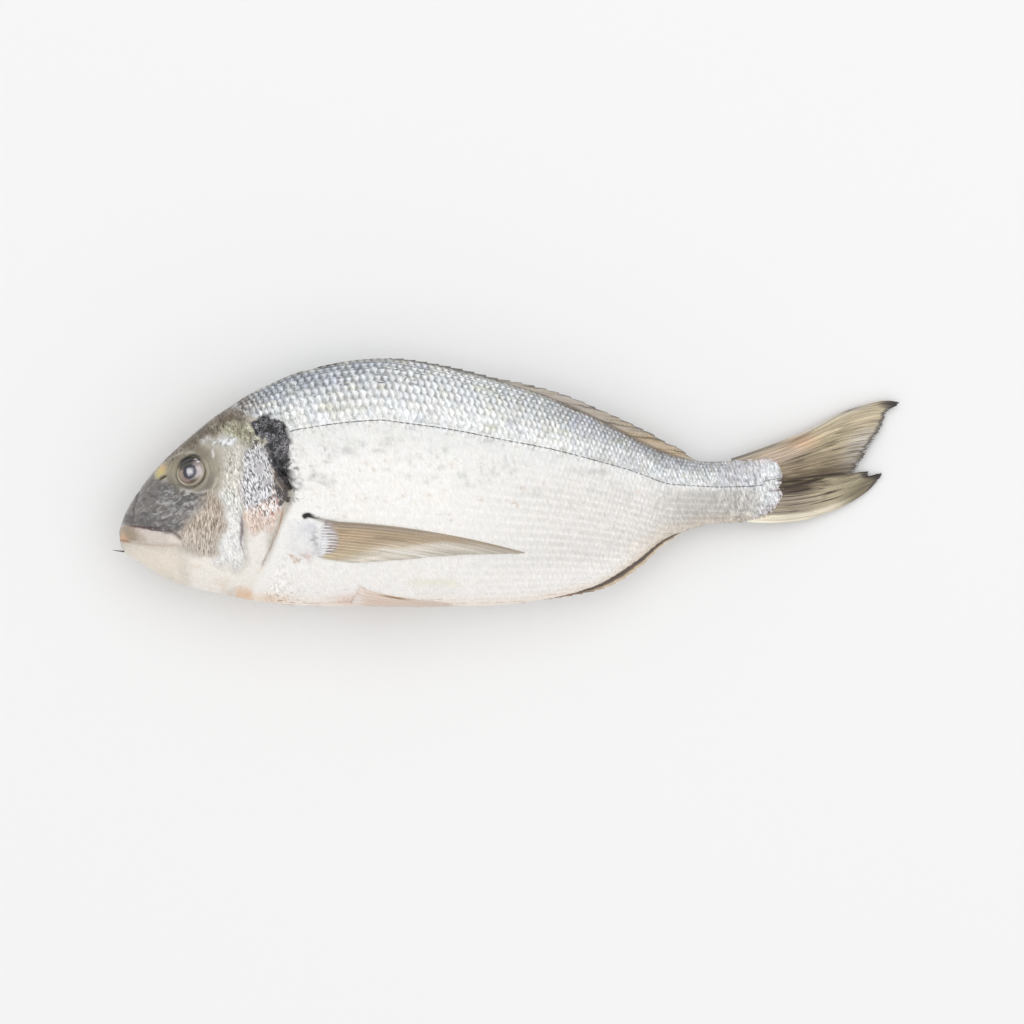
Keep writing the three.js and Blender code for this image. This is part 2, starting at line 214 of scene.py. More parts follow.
def buildMesh(name, points, quads, tris=None, corners=None):
    quads = np.asarray(quads, np.int64).reshape(-1, 4)
    tris = np.zeros((0, 3), np.int64) if tris is None else np.asarray(tris, np.int64).reshape(-1, 3)
    loops = np.concatenate([quads.ravel(), tris.ravel()])
    starts = np.concatenate([np.arange(len(quads)) * 4, len(quads) * 4 + np.arange(len(tris)) * 3])
    mesh = bpy.data.meshes.new(name)
    mesh.vertices.add(len(points))
    mesh.vertices.foreach_set("co", (np.asarray(points) * metre).ravel())
    mesh.loops.add(len(loops))
    mesh.loops.foreach_set("vertex_index", loops)
    mesh.polygons.add(len(starts))
    mesh.polygons.foreach_set("loop_start", starts)
    mesh.update(calc_edges=True)
    if corners is not None:
        layer = mesh.uv_layers.new(name="OFBake")
        layer.uv.foreach_set("vector", np.asarray(corners, float).ravel())
    mesh.polygons.foreach_set("use_smooth", np.ones(len(starts), bool))
    if mesh.validate():
        print("mesh", name, "had faults that were mended")
    return mesh


def turnOutward(points, quads, tris=None, corners=None):
    solid = np.concatenate([quads[:, [0, 1, 2]], quads[:, [0, 2, 3]]])
    if tris is not None:
        solid = np.concatenate([solid, tris])
    a, b, c = points[solid[:, 0]], points[solid[:, 1]], points[solid[:, 2]]
    if np.einsum("ij,ij->i", a, np.cross(b, c)).sum() >= 0:
        return quads, tris, corners
    if corners is not None:
        split = len(quads) * 4
        four = corners[:split].reshape(-1, 4, 2)[:, ::-1].reshape(-1, 2)
        three = corners[split:].reshape(-1, 3, 2)[:, ::-1].reshape(-1, 2)
        corners = np.concatenate([four, three])
    return quads[:, ::-1], None if tris is None else tris[:, ::-1], corners


# Quads of a grid that closes round on itself, and fans from its first and last ring to one point each.
def closedGrid(rows, columns):
    i, j = [v.ravel() for v in np.meshgrid(np.arange(rows - 1), np.arange(columns), indexing="ij")]
    nextJ = (j + 1) % columns
    here, ahead = i * columns, (i + 1) * columns
    quads = np.stack([here + j, here + nextJ, ahead + nextJ, ahead + j], 1)
    ring = np.arange(columns)
    after = (ring + 1) % columns
    count = rows * columns
    last = count - columns
    front = np.stack([np.full(columns, count), after, ring], 1)
    rear = np.stack([np.full(columns, count + 1), last + ring, last + after], 1)
    return quads, np.concatenate([front, rear])


# Quads of an open grid whose points have these numbers, and the numbers round its edge.
def openGrid(number):
    quads = [number[:-1, :-1], number[:-1, 1:], number[1:, 1:], number[1:, :-1]]
    rim = np.concatenate([number[0, :], number[1:, -1], number[-1, -2::-1], number[-2:0:-1, 0]])
    return np.stack([corner.ravel() for corner in quads], 1), rim


def unitGrid(rows, columns):
    return np.meshgrid(np.linspace(0, 1, rows), np.linspace(0, 1, columns), indexing="ij")


# 0 at either edge of a unit width, 1 from over inwards.
def fromEdges(share, over):
    return smooth(np.minimum(share, 1 - share) / over)


def addPiece(name, mesh, material=None):
    piece = bpy.data.objects.new(name, mesh)
    bpy.context.scene.collection.objects.link(piece)
    if material is not None:
        mesh.materials.clear()
        mesh.materials.append(material)
    return piece


# Every piece lies on the one body and stands in for a node of the solid.
def dress(piece, node="fish"):
    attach(piece, "root")
    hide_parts(node)
    return piece


def storeShades(mesh, name, values):
    shades = np.ones((len(values), 4))
    shades[:, :values.shape[1]] = values
    layer = mesh.attributes.new(name, "FLOAT_COLOR", "POINT")
    layer.data.foreach_set("color", shades.ravel())


def storeTint(mesh, tint):
    storeShades(mesh, "tint", lightValues(tint))


def storeValue(mesh, name, values, kind="FLOAT"):
    layer = mesh.attributes.new(name, kind, "POINT")
    key = "vector" if kind == "FLOAT_VECTOR" else "value"
    layer.data.foreach_set(key, np.asarray(values, float).ravel())


def readValue(mesh, name, width=1):
    layer = mesh.attributes[name]
    values = np.zeros(len(layer.data) * width)
    layer.data.foreach_get("vector" if width == 3 else "value", values)
    return values.reshape(-1, width) if width > 1 else values


def readPoints(mesh):
    points = np.zeros(len(mesh.vertices) * 3)
    mesh.vertices.foreach_get("co", points)
    return points.reshape(-1, 3) / metre


# node trees

def addNode(tree, kind, links=None, **settings):
    node = tree.nodes.new(kind)
    for key, value in settings.items():
        setattr(node, key, value)
    for socket, source in (links or {}).items():
        target = node.inputs[socket]
        if isinstance(source, bpy.types.NodeSocket):
            tree.links.new(source, target)
        else:
            target.default_value = source
    return node


def calc(tree, operation, *values):
    return addNode(tree, "ShaderNodeMath", dict(enumerate(values)), operation=operation).outputs[0]


def scaleBy(tree, vector, factor):
    return addNode(tree, "ShaderNodeVectorMath", {0: vector, "Scale": factor}, operation="SCALE").outputs[0]


def randomBetween(tree, low, high, seed):
    node = addNode(tree, "FunctionNodeRandomValue", {2: low, 3: high, "Seed": seed}, data_type="FLOAT")
    return node.outputs[1]


def storedVector(tree, name):
    node = addNode(tree, "GeometryNodeInputNamedAttribute", {"Name": name}, data_type="FLOAT_VECTOR")
    return node.outputs["Attribute"]


def newGroup(name, kind, inputs, outputs):
    tree = bpy.data.node_groups.new(name, kind)
    for label, socket in inputs:
        tree.interface.new_socket(label, in_out="INPUT", socket_type=socket)
    for label, socket in outputs:
        tree.interface.new_socket(label, in_out="OUTPUT", socket_type=socket)
    return tree, tree.nodes.new("NodeGroupInput"), tree.nodes.new("NodeGroupOutput")


# Puts a tree on a piece with its named values, keeps the plain mesh and takes the modifier off.
def grow(piece, tree, values):
    modifier = piece.modifiers.new(tree.name, "NODES")
    modifier.node_group = tree
    sockets = {item.name: item.identifier for item in tree.interface.items_tree if item.in_out == "INPUT"}
    for label, value in values.items():
        modifier[sockets[label]] = value
    bpy.context.view_layer.update()
    graph = bpy.context.evaluated_depsgraph_get()
    grown = piece.evaluated_get(graph)
    mesh = bpy.data.meshes.new_from_object(grown, preserve_all_data_layers=True, depsgraph=graph)
    piece.modifiers.clear()
    old = piece.data
    piece.data = mesh
    bpy.data.meshes.remove(old)
    mesh.name = piece.name
    return piece


# the body, from the same stations as the solid

body = {
    "stations": [  # back x, y, belly x, y, height of the middle, half thickness
        [-150.2, -18.8, -149.4, -25.4, 20.2, 1.7],
        [-148.2, -12.6, -147.0, -27.8, 20.2, 5.0],
        [-143.6, -4.6, -142.0, -30.8, 20.2, 8.0],
        [-135.9, 5.4, -134.5, -35.6, 20.2, 10.6],
        [-124.6, 16.2, -124.0, -39.7, 20.2, 13.4],
        [-110.0, 27.7, -110.0, -43.1, 20.2, 16.4],
        [-94.0, 36.7, -94.0, -45.9, 20.2, 19.0],
        [-75.0, 43.7, -75.0, -47.1, 20.2, 20.7],
        [-50.0, 47.1, -50.0, -47.3, 20.2, 21.3],
        [-27.0, 44.3, -25.0, -47.1, 20.1, 20.7],
        [-4.0, 38.4, -2.0, -46.6, 19.3, 18.9],
        [18.0, 31.1, 18.0, -43.7, 17.8, 16.1],
        [36.0, 22.7, 34.0, -38.8, 16.0, 12.8],
        [50.0, 15.3, 48.0, -30.2, 14.4, 9.8],
        [62.0, 10.4, 60.0, -21.2, 12.9, 7.4],
        [76.0, 7.7, 76.0, -15.8, 11.0, 5.6],
        [90.0, 9.2, 90.0, -14.9, 8.9, 4.0],
        [103.0, 11.4, 103.0, -13.4, 6.5, 1.6],
        [105.6, 8.6, 105.6, -11.0, 5.9, 1.1],
        [107.0, 4.6, 107.0, -7.4, 5.4, 0.4],
    ],
    "bellyFullness": 0.1,
    "headStep": 0.44,
    "flankStep": 2.4,
    "headEnd": -78.0,
    "upperPoints": 216,
    "lowerPoints": 84,
    "evenness": 0.185,
    "gillEdge": [
        [-96.5, 18], [-91.3, 8], [-84.3, -2], [-85, -9], [-91.3, -22], [-95.3, -31.5], [-101, -40.5],
    ],
    "gillLift": 1.6,
    "gillPlate": 20.0,
    "shoulder": 9.0,
    "cheekEdge": [[-104.5, 6], [-103, -5], [-102.6, -14], [-102.7, -21.5], [-101.8, -27.2], [-101, -34]],
    "cheekLift": 0.7,
    "cheekPlate": 24.0,
    "mouthLine": [[-149.8, -22.2], [-145, -23.1], [-138, -24.1], [-131, -24.4], [-126.4, -23.6]],
    "lipCrease": [
        [-146.4, -16.4], [-142.7, -17], [-139.2, -17.3], [-134.6, -18.1], [-131.2, -18], [-128.4, -19.3],
        [-126.5, -20.9], [-125.2, -22.4],
    ],
    "lipLift": 0.8,
    "finBed": 1.0,
    "lineFrom": -84.0,
    "lineTo": 103.0,
    "lateralLine": [
        [-84.5, 18.9], [-80.9, 20.1], [-65.6, 22.4], [-50.3, 23.6], [-42.6, 22.8], [-23, 20.1],
        [-3.5, 16.3], [16.1, 12.5], [35.7, 7.5], [47.6, 4], [59.1, -0.2], [67.1, -1], [80.2, -1.7],
        [95.5, -1.1], [97.8, 0.6], [103.2, 1.6],
    ],
}
eye = {
    "x": -122.1,
    "y": 4.0,
    "radius": 6.0,
    "depth": 3.1,
    "sunk": 1.0,
    "bulge": 0.28,
    "mound": 0.9,
    "rows": 56,
    "columns": 72,
}
lastStation = len(body["stations"]) - 1


def edgeX(points, y):
    line = traced(points)
    xs, ys = line[:, 0], line[:, 1]
    found = np.interp(-y, -ys, xs)
    top = (xs[1] - xs[0]) / (ys[1] - ys[0])
    foot = (xs[-1] - xs[-2]) / (ys[-1] - ys[-2])
    found = np.where(y > ys[0], xs[0] + (y - ys[0]) * top, found)
    return np.where(y < ys[-1], xs[-1] + (y - ys[-1]) * foot, found)


def headRelief(x, y):
    gill = x - edgeX(body["gillEdge"], y)
    cheek = x - edgeX(body["cheekEdge"], y)
    bandTop = smooth((body["gillEdge"][0][1] + 4 - y) / 10)
    bandFoot = rise(y, -46, 8)
    gillRise = np.where(gill < 0, smooth(1 + gill / body["gillPlate"]), 1 - smooth(gill / body["shoulder"]))
    cheekRise = np.where(cheek < 0, smooth(1 + cheek / body["cheekPlate"]), 1 - smooth(cheek / 4))
    lift = body["gillLift"] * gillRise * bandTop * bandFoot
    lift += body["cheekLift"] * cheekRise * bandFoot * fall(y, 6, 8)
    onLip = fall(y, -17.5, 1.5) * rise(y, -24, 1.5) * fall(x, -124.5, 3)
    lift += body["lipLift"] * onLip
    return lift + eye["mound"] * smooth(1.7 - np.hypot((x - eye["x"]) / 9, (y - eye["y"]) / 8))


# A point of the skin: turn 0 is the back, a quarter the middle of the upper flank, a half the belly.
def skinPoint(at, turn):
    cut = along(body["stations"], at)
    c = np.cos(turn * 2 * np.pi)
    s = np.sin(turn * 2 * np.pi)
    x = (cut[..., 0] + cut[..., 2]) / 2 + (cut[..., 0] - cut[..., 2]) / 2 * c
    y = (cut[..., 1] + cut[..., 3]) / 2 + (cut[..., 1] - cut[..., 3]) / 2 * c
    half = cut[..., 5]
    lift = headRelief(x, y) * s * smooth(half / 8)
    z = cut[..., 4] + half * s * (1 - body["bellyFullness"] * c) + lift
    return np.stack([x, y, z], -1)


# The station and turn whose skin point has this x and y; side is 1 for the upper flank, -1 below.
def locate(x, y, side):
    low = np.zeros(x.shape)
    high = np.full(x.shape, float(lastStation))
    for _ in range(26):
        at = (low + high) / 2
        cut = along(body["stations"], at)
        c = (2 * y - cut[..., 1] - cut[..., 3]) / (cut[..., 1] - cut[..., 3])
        before = (cut[..., 0] + cut[..., 2]) / 2 + (cut[..., 0] - cut[..., 2]) / 2 * c < x
        low = np.where(before, at, low)
        high = np.where(before, high, at)
    cut = along(body["stations"], low)
    c = np.clip((2 * y - cut[..., 1] - cut[..., 3]) / (cut[..., 1] - cut[..., 3]), -1, 1)
    turn = np.arccos(c) / (2 * np.pi)
    return low, np.where(side > 0, turn, 1 - turn)


# Skin points and outward normals at x and y.
def skinAt(x, y, side, lift=0.0):
    at, turn = locate(x, y, side)
    at = np.clip(at, 0.02, lastStation - 0.02)
    alongBody = skinPoint(at + 0.02, turn) - skinPoint(at - 0.02, turn)
    around = skinPoint(at, turn + 0.004) - skinPoint(at, turn - 0.004)
    normal = np.cross(around, alongBody)
    normal /= np.linalg.norm(normal, axis=-1, keepdims=True)
    point = skinPoint(at, turn)
    cut = along(body["stations"], at)
    outward = (point[..., 2] - cut[..., 4]) * normal[..., 2]
    middleY = (cut[..., 1] + cut[..., 3]) / 2
    outward = outward + (point[..., 1] - middleY) * normal[..., 1]
    normal = np.where(outward[..., None] < 0, -normal, normal)
    return point + normal * np.asarray(lift)[..., None], normal


edgeTurns = np.linspace(0, lastStation, 500)
backEdge = skinPoint(edgeTurns, np.zeros(500))
bellyEdge = skinPoint(edgeTurns, np.full(500, 0.5))
lateralTrace = traced(body["lateralLine"])


def backY(x):
    return np.interp(x, backEdge[:, 0], backEdge[:, 1])


def bellyY(x):
    return np.interp(x, bellyEdge[:, 0], bellyEdge[:, 1])


def lateralY(x):
    return np.interp(x, lateralTrace[:, 0], lateralTrace[:, 1])


# The same, held level in front of the gill cover and on the tail.
def rowY(x):
    return lateralY(np.clip(x, body["lineFrom"], body["lineTo"]))


# marks of the head and the shoulder, as outlines and lines on the flank

marks = {
    "blotch": [
        [-98.5, 23.6], [-95.8, 25.1], [-88.8, 25.1], [-85.7, 21.8], [-85.1, 17.5], [-83.9, 15.3],
        [-84.2, 10.2], [-84.6, 6.6], [-84.8, 2.4], [-82.8, -1.8], [-84.2, -3.2], [-87.6, 0.6], [-91.6, 6.4],
        [-92.7, 12.6], [-94.3, 16.6], [-98.2, 18.4],
    ],
    "membrane": [
        [-91.2, 6.5], [-89.7, 2.2], [-89.4, -3.9], [-87.8, -8.2], [-84.8, -8.5], [-83.9, -3.9],
        [-86.3, 0.4], [-88.8, 3.7],
    ],
    "forehead": [
        [-84, 44], [-86, 33], [-94, 28], [-100, 25.5], [-101.7, 21.4], [-109.4, 21.9], [-117.1, 16.2],
        [-120.2, 14.7], [-124.3, 11.1], [-131, 7.5], [-136.1, 4.9], [-140.2, 2.9], [-148, 5], [-120, 32],
    ],
    "olive": [[-114, 21.4], [-97.6, 22.9], [-92.4, 14.7], [-102.7, 14.7], [-108.3, 18.3]],
    "brightPatch": [
        [-117.6, 15.2], [-113.5, 16.7], [-108.9, 17.8], [-104.7, 16.7], [-106.8, 14.7], [-112, 14],
    ],
    "behindEye": [
        [-108.4, 12.7], [-103.7, 13.4], [-101.7, 8], [-101.1, -1.2], [-103.7, -12.5], [-110.4, -4.3],
        [-109.9, 2.9],
    ],
    "snout": [
        [-144.8, 0.8], [-136.1, 2.9], [-134, 0.8], [-128.4, -1.2], [-120.2, -3.8], [-116, -5.9],
        [-117.6, -8.9], [-122.2, -12.5], [-125.3, -17.7], [-130.4, -19.2], [-135.1, -17.9], [-145.3, -16.4],
        [-149, -16.1], [-156, -14], [-147, 0],
    ],
    "gold": [
        [-136.6, 4.9], [-133.5, 7], [-128.9, 8], [-126.3, 6], [-127.4, 2.9], [-130.9, 1.9], [-136.1, 2.4],
    ],
    "cheek": [
        [-117.6, -4.3], [-114, -3.8], [-110.4, -7.4], [-108.9, -16.1], [-110.9, -22.8], [-114, -26.9],
        [-119.7, -27.5], [-125.3, -22.8], [-126.3, -18.7], [-121.2, -12.5], [-118.1, -8.4],
    ],
    "whiteBand": [
        [-110.4, -4.3], [-104.2, -2.3], [-102.4, -12], [-103.2, -17.7], [-101.7, -27.4], [-103.7, -32.6],
        [-110.4, -31.6], [-113.5, -30], [-110.4, -23.8], [-108.3, -16.1],
    ],
    "jawRear": [
        [-124.3, -28], [-114, -27.4], [-110.4, -31.6], [-104.2, -33.1], [-97.6, -28], [-92.4, -32.6],
        [-96.5, -40.3], [-107.8, -42.3], [-117.1, -44], [-124.3, -40],
    ],
    "jaw": [
        [-148.4, -23.8], [-137.6, -23.8], [-127.4, -24.4], [-124.3, -28], [-124.3, -40], [-140, -36],
        [-152, -27],
    ],
    "upperLip": [
        [-151.5, -17], [-145.9, -16.7], [-135.1, -18.2], [-130.4, -19.7], [-126.3, -22.3], [-125.3, -23.8],
        [-137.6, -23.8], [-143.8, -22.3], [-150.5, -22.3],
    ],
    "opercle": [
        [-101.7, 2.9], [-101, 12], [-98.6, 17.6], [-95, 16], [-92.4, 11.1], [-89.3, -1.2], [-86.2, -9.5],
        [-91.4, -13.1], [-99.6, -11], [-102.2, -7.4],
    ],
    "redPatch": [
        [-100.6, -11], [-92.4, -7.4], [-89.3, -4.3], [-86.8, -8.9], [-90.9, -17.7], [-97.6, -19.2],
        [-100.1, -16.7],
    ],
    "opercleFoot": [[-100.1, -18.7], [-91.4, -17.7], [-92.4, -27.4], [-98.6, -34.1], [-101.7, -29]],
    "throat": [
        [-108, -43.8], [-103, -40.8], [-97.6, -39.6], [-93, -41], [-86, -43.6], [-84, -50], [-108, -50],
    ],
    "lobe": [
        [-84.5, -14.5], [-79, -14.2], [-72, -15.5], [-66.5, -17], [-66, -26.5], [-72, -28], [-80, -28],
        [-84.5, -24],
    ],
    "snoutGroove": [[-141.9, -2.1], [-143.7, -7.4], [-144.4, -10.4], [-144.3, -13.1], [-145.4, -15.7]],
    "gillFoot": [[-86.3, -8.9], [-86.8, -12], [-88.4, -17.7], [-90.6, -22.8], [-93.6, -29.6], [-95, -32.8]],
    "cheekLine": [
        [-103, -5], [-103, -8.7], [-102.7, -13.7], [-102.3, -17.2], [-102.8, -21.3], [-102.5, -24],
        [-101.6, -27.2], [-100.2, -31.3],
    ],
    "brow": [[-131.5, 8.2], [-127, 10.4], [-122.7, 11.5], [-119.6, 10.7]],
    "browShade": [[-127, 7.4], [-124, 9.3], [-121, 10.3], [-117.9, 8.9]],
    "underEyeLine": [[-127.5, -0.6], [-124.9, -1.9], [-121.8, -2.2], [-119.9, -1.5]],
    "underEyeLow": [[-125, -3], [-121.5, -3.7], [-118, -3.9], [-114.6, -3]],
    "underEyeFold": [[-122.6, -4.3], [-119.2, -4.7], [-115.6, -4.2]],
    "glint": [[-113.8, 12.6], [-113.7, 11], [-113.2, 9]],
    "nostril": [[-134.6, 1], [-133.2, 1.8], [-131.6, 2.7]],
    "tailBase": [
        [60, 30], [74, 9.8], [84, 9.4], [91.8, 9.2], [97.7, 9.4], [103, 8.8], [105.3, 7.2], [106, 3.8],
        [104.2, 0.6], [103.4, -2], [104.4, -5.4], [102.4, -9.6], [97.7, -12.4], [93, -14.4], [84, -15.8],
        [60, -40],
    ],
    "membraneRib": [[-91.6, 5.4], [-88.9, 0.4], [-86.2, -3.4]],
    "blotchGlow": [[-91.5, 15.5], [-85, 16], [-84, 9], [-89, 8.4]],
    "axil": [[-79.3, -13.4], [-77.4, -12.6], [-75.2, -12.9], [-72.4, -14.2], [-68.4, -15.3], [-63, -16.6]],
    "pectoralBed": [
        [-73.5, -13.6], [-60, -13.2], [-34, -15.6], [-12, -20.6], [8, -27], [-9, -28.6], [-24, -29.4],
        [-40, -30.6], [-61, -32], [-76, -29.6],
    ],
    "jawCrease": [[-126.4, -24.2], [-121, -28.6], [-113, -32.6], [-104.5, -35.6]],
    "throatFolds": [
        [[-128, -33.8], [-118, -38.2], [-108, -39.8], [-101.5, -40.2]],
        [[-134, -33.4], [-122, -38.4], [-110, -41.6], [-102, -42.4]],
    ],
}


# How far a place is inside a named outline, with an edge of soft millimetres.
def area(name, x, y, soft):
    return inside(marks[name], x, y, soft)


def mark(name, width, x, y, fade=0.12):
    return stroke(marks[name], width, x, y, fade)


# Places pushed about by noise, so that edges and lines wander.
def wander(x, y, amount, size, seed):
    return x + amount * fuzz(x / size, y / size, seed), y + amount * fuzz(x / size, y / size, seed + 1)


# Thin bright veins where the noise crosses nothing.
def veins(x, y, width, seed):
    return bell(fuzz(x, y, seed, 2), width)


creases = [  # line, height or depth, width, share of the line over which its ends fade
    ("membraneRib", 0.3, 0.35, 0.12),
    ("underEyeLine", -0.3, 0.4, 0.12),
    ("underEyeLow", 0.3, 0.7, 0.12),
    ("underEyeFold", -0.22, 0.35, 0.12),
    ("brow", 0.34, 0.55, 0.3),
    ("nostril", -1.1, 0.38, 0.3),
    ("nostril", 0.25, 1.3, 0.3),
    ("axil", -1.1, 0.75, 0.12),
]
wanderingCreases = [("snoutGroove", -0.34, 0.4), ("jawCrease", -0.22, 0.6)]


# How far the fine marks of the head stand out of the plain skin.
def carve(x, y):
    lift = 0.10 * fuzz(x / 4.2, y / 4.2, 3) * fall(x, -70, 12)
    tailEnd = x > 84
    tx, ty = x[tailEnd], y[tailEnd]
    rows = np.array(body["stations"])
    sink = np.minimum(np.interp(tx, (rows[:, 0] + rows[:, 2]) / 2, rows[:, 5]) - 0.12, 2.0)
    lift[tailEnd] -= sink * (1 - area("tailBase", tx, ty, 2.6)) * rise(tx, 84, 12)
    across, share = nearLine(body["gillEdge"], x, y)
    open_ = rise(share, 0.02, 0.16) * (1 - rise(share, 0.4, 0.12))
    width = mix(0.5, 4.2, open_)
    depth = mix(0.36, 1.9, open_) * smooth(share / 0.08) * fall(share, 0.9, 0.3)
    hollow = np.where(across < 0, smooth(1 + across / 0.45), 1 - smooth(across / width))
    lift -= depth * hollow
    # The gill opening is filled with a raised sheet, on which the shadow of the gap is painted.
    membrane = area("membrane", x, y, 0.8)
    lift += membrane * (0.85 + 0.12 * fuzz(x / 0.7, y / 1.4, 21))
    wx, wy = wander(x, y, 0.5, 2.4, 24)
    across, share = nearLine(body["cheekEdge"], wx, wy)
    hollow = np.where(across < 0, smooth(1 + across / 0.4), 1 - smooth(across / 1.4))
    lift -= 0.5 * hollow * rise(share, 0.15, 0.25) * fall(share, 0.95, 0.25)
    lift -= 0.4 * stroke(body["mouthLine"], 0.42, x, y, 0.25)
    lift -= 0.62 * stroke(body["lipCrease"], 0.42, wx, wy, 0.08)
    for name, height, width in wanderingCreases:
        lift += height * mark(name, width, wx, wy)
    for fold in marks["throatFolds"]:
        lift -= 0.28 * stroke(fold, 0.5, wx, wy)
    for name, height, width, fade in creases:
        lift += height * mark(name, width, x, y, fade)
    away = np.hypot(x - eye["x"], y - eye["y"])
    lift = lift + 0.16 * bell(away - 6.3, 0.45) - 0.08 * bell(away - 7.3, 0.3) + 0.08 * bell(away - 8.2, 0.4)
    lift -= 1.8 * fall(away, 5.7, 0.5)
    blotch = area("blotch", x, y, 1.4)
    grain, _, _ = cells(x / 1.1, y / 1.1, 5)
    lift += blotch * (-0.3 + 0.3 * smooth(1.1 - grain * 1.6) + 0.4 * fuzz(x / 1.1, y / 1.6, 9))
    opercle = area("opercle", x, y, 3.0)
    fx, fy = wander(x, y, 1.1, 2.6, 29)
    lift += opercle * (0.2 * fuzz((fx + 0.35 * fy) / 1.2, fy / 3.4, 12, 2))
    cheek = area("cheek", x, y, 2.4)
    lift += cheek * 0.13 * fuzz(fx / 0.9, fy / 2.4, 17, 2)
    snout = area("snout", x, y, 3.0)
    lift += snout * (0.1 * fuzz(x / 1.5, y / 1.5, 23) + 0.14 * fuzz(fx / 3.2, fy / 2.6, 26))
    lobe = area("lobe", x, y, 5.0)
    lift += lobe * (1.0 + 0.16 * fuzz(x / 2.5, y / 2.5, 27))
    lift -= 0.45 * dab(wx, wy, -74.6, -21.5, 0.9, 5)
    return lift


flankColours = {
    "ridge": (150, 147, 141), "backFront": (157, 162, 170), "backMiddle": (206, 209, 211),
    "backRear": (178, 180, 182), "aboveLine": (236, 238, 237), "belowLine": (234, 234, 232),
    "flank": (246, 244, 241), "flankRear": (232, 229, 226), "flankLow": (249, 246, 243),
    "belly": (249, 239, 228), "peduncle": (197, 194, 190), "tailBase": (227, 230, 232),
    "tailRims": [
        (206, 192, 168), (150, 136, 122), (112, 96, 84), (84, 70, 60), (134, 118, 102), (180, 162, 142),
        (172, 156, 136),
    ],
    "stain": (176, 172, 168), "blush": (240, 228, 216), "yellow": (232, 226, 196),
    "finRoot": (112, 98, 84), "silverBand": (206, 208, 209), "warmRear": (228, 214, 196),
    "slate": (166, 166, 172), "tailTop": (198, 197, 202), "oliveCast": (198, 199, 178),
    "lilacCast": (192, 191, 208), "dash": (188, 192, 186), "dots": (196, 172, 150),
    "scratch": (150, 146, 142), "lace": (160, 157, 158), "grey": (204, 204, 202),
    "throatSpot": (232, 204, 178), "bellySpot": (226, 196, 184), "graze": (172, 132, 104),
}
grazes = [
    [[-84.5, -27.6], [-81.5, -28.8]],
    [[-83, -30.6], [-79.5, -29.2]],
    [[-79.8, -26.9], [-77.6, -28.6]],
    [[-57.7, -39.5], [-56.2, -41.2], [-54, -42.6]],
]
yellowStreak = [[-40, -38.6], [-30, -38.2], [-18, -38.8]]


